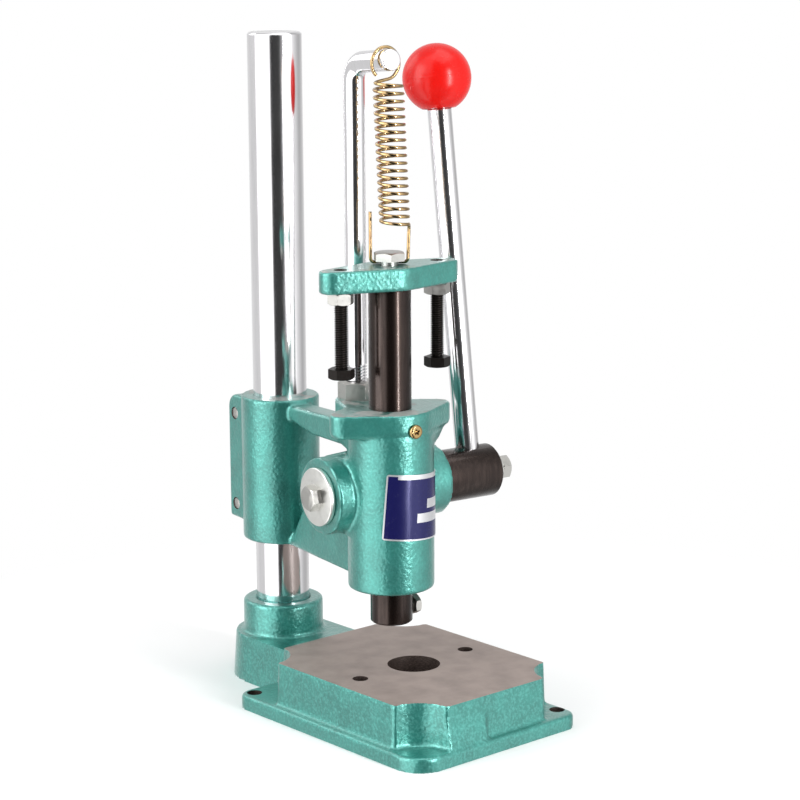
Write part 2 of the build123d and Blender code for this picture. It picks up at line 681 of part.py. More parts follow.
# Screw in the ram's side that clamps the tool's shank
with BuildPart() as tool_clamp_screw:
    screw_head_seat = RAM_R + TOOL_SCREW_NECK
    disc(
        side(TOOL_BORE_R + SEAT_GAP, 0, TOOL_SCREW_HEIGHT),
        TOOL_SCREW_R,
        screw_head_seat - TOOL_BORE_R - SEAT_GAP,
    )
    hexagon(side(screw_head_seat, 0, TOOL_SCREW_HEIGHT), TOOL_SCREW_FLATS, TOOL_SCREW_HEAD)
tool_clamp_screw.part.label = "tool_clamp_screw"

# Crossbar: lens-shaped bar on top of the ram that carries the two stop bolts
with BuildPart() as crossbar:
    with BuildSketch(level(BAR_BOTTOM)) as bar_outline:
        Circle(BAR_CENTRE_R)
        with Locations((-BAR_END_X, 0), (BAR_END_X, 0)):
            Circle(BAR_END_R)
        make_hull()
    extrude(bar_outline.sketch, amount=BAR_THICKNESS)
    fillet(crossbar.faces().filter_by(Axis.Z).edges(), BAR_EDGE)
    disc(level(BAR_BOTTOM), BAR_BOLT_R + RUNNING_GAP, BAR_THICKNESS, mode=Mode.SUBTRACT)
    for hole_x in (-BAR_HOLE_X, BAR_HOLE_X):
        disc(level(BAR_BOTTOM, hole_x), M8_R, BAR_THICKNESS, mode=Mode.SUBTRACT)
crossbar.part.label = "crossbar"

# Bolt that holds the crossbar down, with room under its head for the spring's wire
with BuildPart() as crossbar_bolt:
    disc(level(RAM_TOP - BAR_BOLT_DEPTH), BAR_BOLT_R, BOLT_HEAD_SEAT - RAM_TOP + BAR_BOLT_DEPTH)
    hexagon(
        level(BOLT_HEAD_SEAT).rotated((0, 0, BAR_BOLT_TURN)), BAR_BOLT_FLATS, BAR_BOLT_HEAD
    )
crossbar_bolt.part.label = "crossbar_bolt"

# Pair of stop bolts, heads down, that end the stroke on the head's wings
with BuildPart() as stop_bolts:
    for hole_x in (-BAR_HOLE_X, BAR_HOLE_X):
        hexagon(level(STOP_HEAD_BOTTOM, hole_x), M8_FLATS, M8_HEAD)
        disc(level(STOP_HEAD_BOTTOM + M8_HEAD, hole_x), M8_R, STOP_BOLT_LENGTH)
stop_bolts.part.label = "stop_bolts"

# Pair of lock nuts under the crossbar
with BuildPart() as stop_nuts:
    for hole_x in (-BAR_HOLE_X, BAR_HOLE_X):
        hexagon(level(BAR_BOTTOM - M8_NUT, hole_x), M8_FLATS, M8_NUT)
        disc(level(BAR_BOTTOM - M8_NUT, hole_x), M8_R, M8_NUT, mode=Mode.SUBTRACT)
stop_nuts.part.label = "stop_nuts"

# Pinion shaft: two journals, cut teeth between them and a spigot for the lever hub
with BuildPart() as pinion_shaft:
    shaft_left = side(WASHER_SEAT, SHAFT_BACK, SHAFT_HEIGHT)
    disc(shaft_left, SHAFT_R, -WASHER_SEAT - TOOTH_ZONE)
    disc(side(TOOTH_ZONE, SHAFT_BACK, SHAFT_HEIGHT), SHAFT_R, HUB_SEAT - TOOTH_ZONE)
    disc(side(HUB_SEAT, SHAFT_BACK, SHAFT_HEIGHT), SPIGOT_R, HUB_LENGTH)
    with BuildSketch(side(-TOOTH_ZONE, SHAFT_BACK, SHAFT_HEIGHT)) as pinion_outline:
        Circle(PINION_ROOT_R)
        with PolarLocations(0, TEETH, start_angle=180):
            add(tooth.sketch)
    extrude(pinion_outline.sketch, amount=2 * TOOTH_ZONE)
    disc(shaft_left, M8_R, SHAFT_THREAD_DEPTH, mode=Mode.SUBTRACT)
    disc(
        side(HUB_END - SHAFT_THREAD_DEPTH, SHAFT_BACK, SHAFT_HEIGHT),
        M8_R,
        SHAFT_THREAD_DEPTH,
        mode=Mode.SUBTRACT,
    )
    with BuildSketch(side(HUB_SEAT + KEY_START, SHAFT_BACK, SHAFT_HEIGHT)) as shaft_keyway:
        with Locations((0, -SPIGOT_R)):
            Rectangle(KEY_WIDTH, KEY_WIDTH)
    extrude(shaft_keyway.sketch, amount=KEY_LENGTH, mode=Mode.SUBTRACT)
pinion_shaft.part.label = "pinion_shaft"

# Key that makes the hub turn the shaft
with BuildPart() as hub_key:
    with BuildSketch(side(HUB_SEAT + KEY_START, SHAFT_BACK, SHAFT_HEIGHT)) as key_outline:
        with Locations((0, -SPIGOT_R)):
            Rectangle(KEY_WIDTH, KEY_WIDTH)
    extrude(key_outline.sketch, amount=KEY_LENGTH)
hub_key.part.label = "hub_key"

# Washer and bolt that close the shaft's left end
with BuildPart() as shaft_washer:
    ring(
        side(WASHER_SEAT - SHAFT_WASHER_THICKNESS, SHAFT_BACK, SHAFT_HEIGHT),
        SHAFT_WASHER_R,
        M8_R + RUNNING_GAP,
        SHAFT_WASHER_THICKNESS,
    )
shaft_washer.part.label = "shaft_washer"

with BuildPart() as shaft_bolt:
    left_head_seat = WASHER_SEAT - SHAFT_WASHER_THICKNESS
    hexagon(side(left_head_seat - M8_HEAD, SHAFT_BACK, SHAFT_HEIGHT), M8_FLATS, M8_HEAD)
    disc(side(left_head_seat, SHAFT_BACK, SHAFT_HEIGHT), M8_R, SHAFT_BOLT_LENGTH)
shaft_bolt.part.label = "shaft_bolt"

# Lever hub on the shaft's spigot
with BuildPart() as lever_hub:
    hub_axis = side(HUB_SEAT, SHAFT_BACK, SHAFT_HEIGHT)
    disc(hub_axis, HUB_R, HUB_LENGTH)
    hub_rim = lever_hub.edges().filter_by(GeomType.CIRCLE)
    chamfer(hub_rim, HUB_EDGE)
    disc(hub_axis, SPIGOT_R, HUB_LENGTH, mode=Mode.SUBTRACT)
    disc(LEVER_AXIS, LEVER_ROD_R, 2 * HUB_R, mode=Mode.SUBTRACT)
    with BuildSketch(side(HUB_SEAT + KEY_START, SHAFT_BACK, SHAFT_HEIGHT)) as hub_keyway:
        with Locations((0, -SPIGOT_R)):
            Rectangle(KEY_WIDTH, KEY_WIDTH)
    extrude(hub_keyway.sketch, amount=KEY_LENGTH, mode=Mode.SUBTRACT)
lever_hub.part.label = "lever_hub"

# Flat washer, split lock washer and bolt at the hub's end
with BuildPart() as hub_washer:
    ring(
        side(HUB_END, SHAFT_BACK, SHAFT_HEIGHT),
        HUB_WASHER_R,
        M8_R + RUNNING_GAP,
        HUB_WASHER_THICKNESS,
    )
hub_washer.part.label = "hub_washer"

with BuildPart() as hub_lock_washer:
    lock_washer_seat = HUB_END + HUB_WASHER_THICKNESS
    ring(
        side(lock_washer_seat, SHAFT_BACK, SHAFT_HEIGHT),
        LOCK_WASHER_R,
        M8_R + RUNNING_GAP,
        LOCK_WASHER_THICKNESS,
    )
    with BuildSketch(side(lock_washer_seat, SHAFT_BACK, SHAFT_HEIGHT)) as split_gap:
        with Locations((0, LOCK_WASHER_R)):
            Rectangle(LOCK_WASHER_SPLIT, 2 * (LOCK_WASHER_R - M8_R / 2))
    extrude(split_gap.sketch, amount=LOCK_WASHER_THICKNESS, mode=Mode.SUBTRACT)
hub_lock_washer.part.label = "hub_lock_washer"

with BuildPart() as hub_bolt:
    right_head_seat = lock_washer_seat + LOCK_WASHER_THICKNESS
    hexagon(side(right_head_seat, SHAFT_BACK, SHAFT_HEIGHT), M8_FLATS, M8_HEAD)
    disc(
        side(right_head_seat - SHAFT_BOLT_LENGTH, SHAFT_BACK, SHAFT_HEIGHT),
        M8_R,
        SHAFT_BOLT_LENGTH,
    )
hub_bolt.part.label = "hub_bolt"

# Lever rod and its ball
with BuildPart() as lever_rod:
    disc(
        LEVER_AXIS.offset(SPIGOT_R + SEAT_GAP),
        LEVER_ROD_R,
        LEVER_TO_BALL - BALL_FLAT - SPIGOT_R - SEAT_GAP,
    )
    disc(LEVER_AXIS.offset(LEVER_TO_BALL - BALL_FLAT), BALL_THREAD_R, BALL_THREAD_DEPTH)
lever_rod.part.label = "lever_rod"

with BuildPart() as ball_knob:
    with BuildSketch(BALL_SECTION) as ball_outline:
        Circle(BALL_R)
        with Locations((-BALL_R, 0)):
            Rectangle(2 * BALL_R, 2 * BALL_R, mode=Mode.SUBTRACT)
        with Locations((0, -BALL_FLAT - BALL_R)):
            Rectangle(2 * BALL_R, 2 * BALL_R, mode=Mode.SUBTRACT)
    revolve(ball_outline.sketch, axis=LEVER_LINE)
    disc(
        LEVER_AXIS.offset(LEVER_TO_BALL - BALL_FLAT),
        BALL_THREAD_R,
        BALL_THREAD_DEPTH,
        mode=Mode.SUBTRACT,
    )
ball_knob.part.label = "ball_knob"

# Clamp bolts through the split ears, heads on the lever side
with BuildPart() as clamp_bolts:
    for clamp_z in (CLAMP_HOLE_LOW, CLAMP_HOLE_HIGH):
        hexagon(side(EAR_HALF_WIDTH, THROAT + CLAMP_HOLE_REACH, clamp_z), M8_FLATS, M8_HEAD)
        disc(
            side(CLAMP_BOLT_RECESS - EAR_HALF_WIDTH, THROAT + CLAMP_HOLE_REACH, clamp_z),
            M8_R,
            2 * EAR_HALF_WIDTH - CLAMP_BOLT_RECESS,
        )
clamp_bolts.part.label = "clamp_bolts"

# Hook rod, bent forward over the ram, and the nut that locks it in the head
with BuildPart() as hook_rod:
    hook_drop = (HOOK_ROD_BACK + HOOK_END_FRONT) * math.tan(math.radians(HOOK_RISE))
    with BuildLine() as hook_line:
        FilletPolyline(
            head_point(0, HOOK_ROD_BACK, HEAD_TOP - HOOK_ROD_SEAT),
            head_point(0, HOOK_ROD_BACK, HOOK_END_HEIGHT - hook_drop),
            head_point(0, -HOOK_END_FRONT, HOOK_END_HEIGHT),
            radius=HOOK_BEND_R,
        )
    with BuildSketch(level(HEAD_TOP - HOOK_ROD_SEAT, 0, HOOK_ROD_BACK)) as hook_section:
        Circle(HOOK_ROD_R)
    sweep(sections=hook_section.sketch, path=hook_line.line)
hook_rod.part.label = "hook_rod"

with BuildPart() as hook_rod_nut:
    hexagon(
        level(HEAD_TOP, 0, HOOK_ROD_BACK).rotated((0, 0, HOOK_NUT_TURN)),
        HOOK_NUT_FLATS,
        HOOK_NUT_HEIGHT,
    )
    disc(level(HEAD_TOP, 0, HOOK_ROD_BACK), HOOK_ROD_R, HOOK_NUT_HEIGHT, mode=Mode.SUBTRACT)
hook_rod_nut.part.label = "hook_rod_nut"

# Plug screw of the oil hole in the head's front
with BuildPart() as oil_screw:
    disc(front(-BODY_R, 0, OIL_SCREW_HEIGHT), OIL_SCREW_HEAD_R, OIL_SCREW_HEAD)
    fillet(oil_screw.faces().sort_by(Axis(HEAD.origin, HEAD.y_dir))[0].edges(), OIL_SCREW_EDGE)
    disc(
        front(OIL_SCREW_LENGTH - BODY_R, 0, OIL_SCREW_HEIGHT),
        OIL_SCREW_R,
        OIL_SCREW_LENGTH,
    )
oil_screw.part.label = "oil_screw"

# Bare nameplate bent round the head's front
with BuildPart() as name_plate:
    with BuildSketch(level(PLATE_BOTTOM)) as plate_outline:
        Circle(BODY_R + RUNNING_GAP + PLATE_THICKNESS)
        Circle(BODY_R + RUNNING_GAP, mode=Mode.SUBTRACT)
        with BuildLine():
            plate_span = math.degrees(PLATE_WIDTH / BODY_R)
            plate_start = -90 - PLATE_LEFT_ANGLE
            edge_one = Vector(2 * BODY_R, 0).rotate(Axis.Z, plate_start)
            edge_two = Vector(2 * BODY_R, 0).rotate(Axis.Z, plate_start + plate_span)
            edge_mid = Vector(4 * BODY_R, 0).rotate(Axis.Z, plate_start + plate_span / 2)
            Polyline((0, 0), edge_one, edge_mid, edge_two, close=True)
        make_face(mode=Mode.INTERSECT)
    extrude(plate_outline.sketch, amount=PLATE_HEIGHT)
name_plate.part.label = "name_plate"

# The wire's route below the loop: points, each with the way that the wire runs there
LOOP_END = loop_point(LOOP_LEAVE_ANGLE)
LOOP_END_WAY = (loop_point(LOOP_LEAVE_ANGLE - 0.1) - LOOP_END).normalized()
BACKWARD = view_side_point(0, 1, 0) - view_side_point(0, 0, 0)
SIDEWAYS = view_side_point(-1, 0, 0) - view_side_point(0, 0, 0)
LEG_TOP = view_side_point(COIL_R + SPRING_LEAN, LEG_BEND_R, BAR_TOP + LEG_LENGTH - LEG_BEND_R - WIRE_R)
LEG_FOOT = view_side_point(LEG_REACH, LEG_BEND_R, WIRE_SEAT + LEG_BEND_R)
LEG_WAY = (LEG_FOOT - LEG_TOP).normalized()
TAIL_FOOT = view_side_point(-LEG_REACH, LEG_BEND_R, WIRE_SEAT + LEG_BEND_R)
TAIL_END = view_side_point(-LEG_REACH, LEG_BEND_R, BAR_TOP + TAIL_LENGTH)
TURN_BACK = (SIDEWAYS + BACKWARD * 0.6).normalized()
TURN_FRONT = (SIDEWAYS - BACKWARD * 0.6).normalized()
SPRING_NODES = [(LOOP_END, LOOP_END_WAY)]
SPRING_NODES += [(coil_point(i / 2), coil_way(i / 2)) for i in range(int(2 * COIL_TURNS) + 1)]
SPRING_NODES += [
    (coil_point(COIL_TURNS), coil_way(COIL_TURNS)),
    (LEG_TOP, LEG_WAY),
    (LEG_FOOT, LEG_WAY),
    (LEG_FOOT + TURN_BACK * LEG_BEND_R - Vector(0, 0, LEG_BEND_R), TURN_BACK),
    (view_side_point(0, WIRE_PASS_R, WIRE_SEAT), SIDEWAYS),
    (TAIL_FOOT - TURN_FRONT * LEG_BEND_R - Vector(0, 0, LEG_BEND_R), TURN_FRONT),
    (TAIL_FOOT, Vector(0, 0, 1)),
    (TAIL_END, Vector(0, 0, 1)),
]

# Return spring: an open loop on the hook rod, the coil, and a tail under the crossbar bolt
with BuildPart() as return_spring:
    with BuildLine() as spring_line:
        ThreePointArc(loop_point(LOOP_OPEN_ANGLE), loop_point(145), loop_point(65))
        ThreePointArc(loop_point(65), loop_point(-7.5), LOOP_END)
        for start, finish in zip(SPRING_NODES[:-1], SPRING_NODES[1:]):
            biarc(*start, *finish)
    spring_path = Wire(spring_line.edges())
    with BuildSketch(Plane(spring_path @ 0, z_dir=spring_path % 0)) as wire:
        Circle(WIRE_R)
    sweep(sections=wire.sketch, path=spring_path)
return_spring.part.label = "return_spring"
spring_gap = least_gap(spring_path, WIRE_R, 2 * math.pi * COIL_R)
print("return_spring wire length %.0f mm, least gap to itself %.2f mm" % (spring_path.length, spring_gap))

os.makedirs("parts", exist_ok=True)
export_step(base_casting.part, "parts/base_casting.step")
export_step(column.part, "parts/column.step")
export_step(column_set_screw.part, "parts/column_set_screw.step")
export_step(head_casting.part, "parts/head_casting.step")
export_step(clamp_bolts.part, "parts/clamp_bolts.step")
export_step(hook_rod.part, "parts/hook_rod.step")
export_step(hook_rod_nut.part, "parts/hook_rod_nut.step")
export_step(return_spring.part, "parts/return_spring.step")
export_step(oil_screw.part, "parts/oil_screw.step")
export_step(name_plate.part, "parts/name_plate.step")
export_step(ram.part, "parts/ram.step")
export_step(tool_clamp_screw.part, "parts/tool_clamp_screw.step")
export_step(crossbar.part, "parts/crossbar.step")
export_step(crossbar_bolt.part, "parts/crossbar_bolt.step")
export_step(stop_bolts.part, "parts/stop_bolts.step")
export_step(stop_nuts.part, "parts/stop_nuts.step")
export_step(pinion_shaft.part, "parts/pinion_shaft.step")
export_step(hub_key.part, "parts/hub_key.step")
export_step(shaft_washer.part, "parts/shaft_washer.step")
export_step(shaft_bolt.part, "parts/shaft_bolt.step")
export_step(lever_hub.part, "parts/lever_hub.step")
export_step(hub_washer.part, "parts/hub_washer.step")
export_step(hub_lock_washer.part, "parts/hub_lock_washer.step")
export_step(hub_bolt.part, "parts/hub_bolt.step")
export_step(lever_rod.part, "parts/lever_rod.step")
export_step(ball_knob.part, "parts/ball_knob.step")
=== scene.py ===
import json
import math

import bpy
from bpy.props import FloatProperty, FloatVectorProperty, IntProperty, PointerProperty
from mathutils import Matrix, Vector


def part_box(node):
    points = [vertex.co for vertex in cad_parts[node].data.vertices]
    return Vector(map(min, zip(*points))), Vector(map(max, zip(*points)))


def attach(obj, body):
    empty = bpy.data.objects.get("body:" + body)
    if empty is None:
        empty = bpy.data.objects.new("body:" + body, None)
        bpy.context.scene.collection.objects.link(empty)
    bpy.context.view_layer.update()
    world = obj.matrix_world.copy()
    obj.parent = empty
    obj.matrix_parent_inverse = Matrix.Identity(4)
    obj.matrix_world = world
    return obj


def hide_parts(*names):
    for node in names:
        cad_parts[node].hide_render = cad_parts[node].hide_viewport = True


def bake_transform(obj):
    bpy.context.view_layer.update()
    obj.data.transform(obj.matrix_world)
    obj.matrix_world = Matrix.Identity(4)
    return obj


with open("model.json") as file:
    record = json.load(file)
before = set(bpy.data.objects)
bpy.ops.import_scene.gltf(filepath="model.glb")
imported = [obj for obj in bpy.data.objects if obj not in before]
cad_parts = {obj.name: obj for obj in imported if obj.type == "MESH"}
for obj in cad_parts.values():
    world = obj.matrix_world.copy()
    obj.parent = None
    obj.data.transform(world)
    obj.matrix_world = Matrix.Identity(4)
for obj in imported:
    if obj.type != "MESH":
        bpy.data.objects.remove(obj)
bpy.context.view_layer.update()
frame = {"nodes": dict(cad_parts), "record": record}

bl_info = {
    "name": "Manual desk press",
    "version": (1, 0, 0),
    "blender": (4, 5, 0),
    "location": "3D View > Sidebar > Press",
    "description": "Dresses the desk press with its castings, fasteners, spring and finishes",
    "category": "Object",
}

BODY_OF = {
    node: body for body, nodes in frame["record"]["behaviour"]["bodies"].items() for node in nodes
}

MM = 0.001
UP = Vector((0, 0, 1))


def axis_of(node):
    low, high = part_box(node)
    return Vector(((low.x + high.x) / 2, (low.y + high.y) / 2, 0))


# The head's own directions: the ram's axis, the way back to the column, and the lever's side
RAM_AXIS = axis_of("ram")
COLUMN_AXIS = axis_of("column")
THROAT = (COLUMN_AXIS - RAM_AXIS).length
BACK = (COLUMN_AXIS - RAM_AXIS).normalized()
RIGHT = Vector((BACK.y, -BACK.x, 0))

# Heights and places that the castings and the fasteners share
FLANGE_TOP = 8.5 * MM
FLANGE_CORNERS = ((-55 * MM, 79.2 * MM), (55 * MM, -61.7 * MM))
TABLE_TOP = 33.2 * MM
TAPPED_OUT = 40.4 * MM
COLLAR_TOP = 48 * MM
HEAD_TOP = 186 * MM
BARREL_TOP = 174 * MM
BARREL_BOTTOM = 86 * MM
BODY_BOTTOM = 83 * MM
BODY_RADIUS = 24.6 * MM
BAR_BOTTOM = 254.2 * MM
BAR_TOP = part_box("crossbar")[1].z
BAR_HOLE = 32 * MM
SHAFT_BACK = 19 * MM
SHAFT_HEIGHT = 136 * MM
EAR_SIDE = 16.5 * MM
CLAMP_BACK = THROAT + 26.6 * MM
CLAMP_HEIGHTS = (103.2 * MM, 159.6 * MM)
HOOK_BACK = 34.4 * MM
LEVER_OUT = 67.5 * MM
LEVER_LEAN = math.radians(8)
LEVER_LENGTH = 229.8 * MM
OIL_HEIGHT = 176.7 * MM
BOSS_FACES = (-35 * MM, 42.3 * MM)
HOOK_THREAD_FOOT = HEAD_TOP - 24 * MM

# Fasteners: width across the flats, height of the head and radius of the shank
M8_FLATS, M8_HEAD, M8_RADIUS = 13 * MM, 5.7 * MM, 3.8 * MM
M10_FLATS, M10_HEAD, M10_RADIUS, M10_PITCH = 16 * MM, 4.8 * MM, 4.8 * MM, 1.5 * MM
M12_FLATS, M12_NUT, M12_RADIUS = 19 * MM, 10 * MM, 6 * MM

# Radii of the castings' bores
TABLE_BORE, COLUMN_BORE, RAM_BORE, SHAFT_BORE = 15.2 * MM, 16.05 * MM, 12.05 * MM, 13.05 * MM
TAPPED_HOLE = FLANGE_HOLE = 4.5 * MM
SET_SCREW_HOLE, CLAMP_HOLE, OIL_HOLE = 3.6 * MM, 3.8 * MM, 2 * MM
SOCKET_MOUTH = 18.2 * MM

# The photograph's camera, as it was fitted: its bearing, tilt and roll in degrees, its place in
# millimetres, its focal length and the picture's width in pixels, and a sensor's usual width
CAMERA_TURNS = (41.26, 11.7, -0.34)
CAMERA_PLACE = (-879.8, -992.2, 463.0)
FOCAL_PIXELS, PHOTO_PIXELS, SENSOR = 2404.3, 800, 36

# Joins the vertices that the CAD's meshes repeat along their faces' borders
WELD = 0.002 * MM


def linear(code):
    """An sRGB hex colour as the linear values that Blender's shaders work in."""
    channels = [int(code[i : i + 2], 16) / 255 for i in (1, 3, 5)]
    return [c / 12.92 if c <= 0.04045 else ((c + 0.055) / 1.055) ** 2.4 for c in channels]


def shade(colour, share):
    return [channel * share for channel in colour]


def colour_property(name, code, description):
    return FloatVectorProperty(
        name=name, description=description, subtype="COLOR", size=3, min=0, max=1,
        default=linear(code),
    )


def length_property(name, size, description):
    return FloatProperty(
        name=name, description=description, unit="LENGTH", min=0, precision=5, default=size
    )


class PressColours(bpy.types.PropertyGroup):
    """The colours of the press's finishes"""

    enamel: colour_property("Enamel", "#308a80", "Green hammered enamel with aluminium flakes")
    enamel_dark: colour_property("Enamel, deep", "#2a7c73", "The enamel where it lies thick")
    # Also the colour that the painted highlight along the enamel's edges pales towards
    enamel_light: colour_property("Enamel, bright", "#68c2b8", "The domes, where flakes gather")
    machined_iron: colour_property("Machined iron", "#9c8d86", "Milled cast iron of the table")
    machined_dark: colour_property("Machined iron, worn", "#8b7c74", "Oil and rust in the bores")
    ground_iron: colour_property("Ground iron", "#a9afab", "Tops of head, barrel and crossbar")
    # Darker than the milled iron: cutting oil, and painted shade inside the bores and holes
    bore_oil_and_shade: colour_property("Bored iron", "#3d322e", "Inside the bores and tapped holes")
    chrome: colour_property("Chrome", "#e9e8ea", "Hard chrome of the column and the rods")
    blued: colour_property("Blued steel", "#2b221f", "Oil-blackened steel of ram and hub")
    blued_worn: colour_property("Blued steel, worn", "#5c4e48", "Where the black has rubbed away")
    black_oxide: colour_property("Black oxide", "#24211f", "The stop bolts")
    zinc: colour_property("Bright zinc", "#b3b2ae", "Nuts and bolts")
    washer_zinc: colour_property("Zinc of the washers", "#dededa", "Polished by the turning bolts")
    yellow_zinc: colour_property("Yellow zinc", "#b0986d", "The spring's gold passivation")
    yellow_zinc_pink: colour_property("Yellow zinc, pink", "#8c6654", "Its pink cast")
    brass: colour_property("Brass", "#a68c60", "The oil hole's screw")
    ball: colour_property("Ball", "#da0e06", "Red plastic of the knob")
    plate_blue: colour_property("Plate, printed", "#161751", "The blue print of the name plate")
    plate_silver: colour_property("Plate, bare", "#d8d9dc", "The plate's bare aluminium")


class PressSizes(bpy.types.PropertyGroup):
    """The sizes of the press's small detail"""

    skin: length_property("Casting grid", 1.0 * MM, "Grid that the casting's skin is drawn on")
    skin_passes: IntProperty(
        name="Casting softness", description="Passes that round the cast edges", min=0, default=3
    )
    sand: length_property("Sand relief", 0.12 * MM, "Height of the sand mould's unevenness")
    m8_pitch: length_property("M8 pitch", 1.25 * MM, "Thread pitch of the M8 bolts")
    m12_pitch: length_property("M12 pitch", 1.75 * MM, "Thread pitch of the hook rod")
    wire: length_property("Spring wire radius", 0.95 * MM, "Half the spring wire's thickness")
    coil: length_property("Coil radius", 7.8 * MM, "Coil radius to the wire's middle")
    coil_turns: IntProperty(
        name="Coil turns", description="Whole turns of the coil", min=1, default=18
    )
    plate_width: length_property("Plate width", 50 * MM, "Name plate, round the head's front")
    plate_height: length_property("Plate height", 37.5 * MM, "Name plate, from foot to top")
    plate_border: length_property("Plate border", 0.9 * MM, "Bare rim round the plate's print")


# ---------------------------------------------------------------- modelling helpers


def only(obj):
    """Select obj alone and make it active."""
    bpy.ops.object.select_all(action="DESELECT")
    obj.select_set(True)
    bpy.context.view_layer.objects.active = obj


def named(name):
    obj = bpy.context.object
    obj.name = name
    obj.data.name = name
    return obj


def edit(obj):
    only(obj)
    bpy.ops.object.mode_set(mode="EDIT")
    bpy.ops.mesh.select_all(action="SELECT")


def leave_edit():
    bpy.ops.object.mode_set(mode="OBJECT")


def pick(obj, kind, test):
    """In edit mode, select the faces, edges or vertices whose middle and normal pass a test."""
    bpy.ops.mesh.select_all(action="DESELECT")
    bpy.ops.mesh.select_mode(type=kind)
    leave_edit()
    mesh = obj.data
    if kind == "VERT":
        for vertex in mesh.vertices:
            vertex.select = test(vertex.co, vertex.normal)
    elif kind == "EDGE":
        for edge in mesh.edges:
            ends = [mesh.vertices[i].co for i in edge.vertices]
            edge.select = test((ends[0] + ends[1]) / 2, ends[1] - ends[0])
    else:
        for face in mesh.polygons:
            face.select = test(face.center, face.normal)
    bpy.ops.object.mode_set(mode="EDIT")


def placed(right, back, up, along=UP, turn=0.0):
    """The place of a piece on the head: its own z runs along the way given."""
    across = RIGHT if abs(along.dot(RIGHT)) < 0.9 else BACK
    x = (across - along * across.dot(along)).normalized()
    place = Matrix((x, along.cross(x), along)).transposed().to_4x4()
    place.translation = RAM_AXIS + RIGHT * right + BACK * back + UP * up
    return place @ Matrix.Rotation(turn, 4, "Z")


def settle(obj, place=None):
    """Put obj in its place and leave the object itself at the origin, unturned and unscaled."""
    only(obj)
    if place is not None:
        obj.matrix_world = place @ obj.matrix_world
    bpy.ops.object.transform_apply(location=True, rotation=True, scale=True)
    return obj


def join(name, objs):
    bpy.ops.object.select_all(action="DESELECT")
    for obj in objs:
        obj.select_set(True)
    bpy.context.view_layer.objects.active = objs[0]
    bpy.ops.object.join()
    return named(name)


def twin(obj, name):
    """A copy with its own mesh."""
    other = bpy.data.objects.new(name, obj.data.copy())
    bpy.context.scene.collection.objects.link(other)
    other.matrix_world = obj.matrix_world
    return other


def apply_modifier(obj, kind, **settings):
    only(obj)
    modifier = obj.modifiers.new(kind.title(), kind)
    for key, value in settings.items():
        setattr(modifier, key, value)
    bpy.ops.object.modifier_apply(modifier=modifier.name)


def cut(obj, cutter, operation="DIFFERENCE"):
    apply_modifier(obj, "BOOLEAN", object=cutter, operation=operation, solver="EXACT")
    bpy.data.objects.remove(cutter)


def turned(name, profile, sides=64):
    """A solid turned on its own z axis: a disc is extruded and scaled from station to station."""
    radius, height = profile[0]
    bpy.ops.mesh.primitive_circle_add(vertices=sides, radius=radius, fill_type="NGON")
    obj = named(name)
    edit(obj)
    bpy.ops.transform.translate(value=(0, 0, height))
    for next_radius, next_height in profile[1:]:
        bpy.ops.mesh.extrude_region_move(
            TRANSFORM_OT_translate={"value": (0, 0, next_height - height)}
        )
        ratio = next_radius / radius
        bpy.ops.transform.resize(value=(ratio, ratio, 1), center_override=(0, 0, next_height))
        radius, height = next_radius, next_height
    bpy.ops.mesh.select_all(action="SELECT")
    bpy.ops.mesh.normals_make_consistent(inside=False)
    leave_edit()
    return obj


def round_bar(name, radius, low, high, sides=64):
    return turned(name, [(radius, low), (radius, high)], sides)


def hexagon(name, flats, low, high, low_chamfer=True):
    """A hexagon whose corners are turned off at 30 degrees, as on real nuts and heads."""
    corner = flats / 2 / math.cos(math.pi / 6)
    face = flats / 2 * 0.96
    slope = (corner - face) * math.tan(math.pi / 6)
    bpy.ops.mesh.primitive_cylinder_add(
        vertices=6, radius=corner, depth=high - low, location=(0, 0, (low + high) / 2)
    )
    obj = settle(named(name))
    stations = [(face, low), (corner, low + slope)] if low_chamfer else [(corner, low)]
    stations += [(corner, high - slope), (face, high)]
    cut(obj, turned("blank", stations, 96), "INTERSECT")
    return obj


def thread(name, radius, pitch, low, high):
    """A cut thread: one pitch of its profile is wound up by a screw and cut to length."""
    root, steps = radius - 0.6 * pitch, 28
    # Radius of each corner of the profile, and its place as a share of the pitch
    profile = [(root, 0), (radius, 0.31), (radius, 0.44), (root, 0.75), (root, 1)]
    bpy.ops.mesh.primitive_circle_add(vertices=len(profile) + 1, radius=radius)
    obj = named(name)
    edit(obj)
    pick(obj, "VERT", lambda co, normal: co.y > 0.99 * radius)
    bpy.ops.mesh.delete(type="VERT")
    leave_edit()
    used = [index for edge in obj.data.edges for index in edge.vertices]
    first_end = min(index for index in used if used.count(index) == 1)
    order, left = [first_end], {tuple(e.vertices) for e in obj.data.edges}
    while left:
        step = next(e for e in left if order[-1] in e)
        left.discard(step)
        order.append(step[0] if step[1] == order[-1] else step[1])
    for index, (across, share) in zip(order, profile):
        obj.data.vertices[index].co = (across, 0, low + (share - 1) * pitch)
    turns = math.ceil((high - low) / pitch) + 2
    apply_modifier(
        obj, "SCREW", axis="Z", angle=math.tau, screw_offset=pitch, iterations=turns,
        steps=steps, render_steps=steps, use_smooth_shade=False,
    )
    edit(obj)
    bpy.ops.mesh.remove_doubles(threshold=0.01 * MM)
    bpy.ops.mesh.bisect(plane_co=(0, 0, low), plane_no=(0, 0, 1), use_fill=True, clear_inner=True)
    bpy.ops.mesh.select_all(action="SELECT")
    bpy.ops.mesh.bisect(plane_co=(0, 0, high), plane_no=(0, 0, 1), use_fill=True, clear_outer=True)
    bpy.ops.mesh.select_all(action="SELECT")
    bpy.ops.mesh.normals_make_consistent(inside=False)
    leave_edit()
    return obj


def pointed(obj, radius, low, high, edge):
    """Turn a chamfer on a thread's free lower end."""
    outside = radius * 1.1
    stations = [(radius - edge, low), (outside, low + edge), (outside, high + MM)]
    cut(obj, turned("blank", stations), "INTERSECT")
    return obj


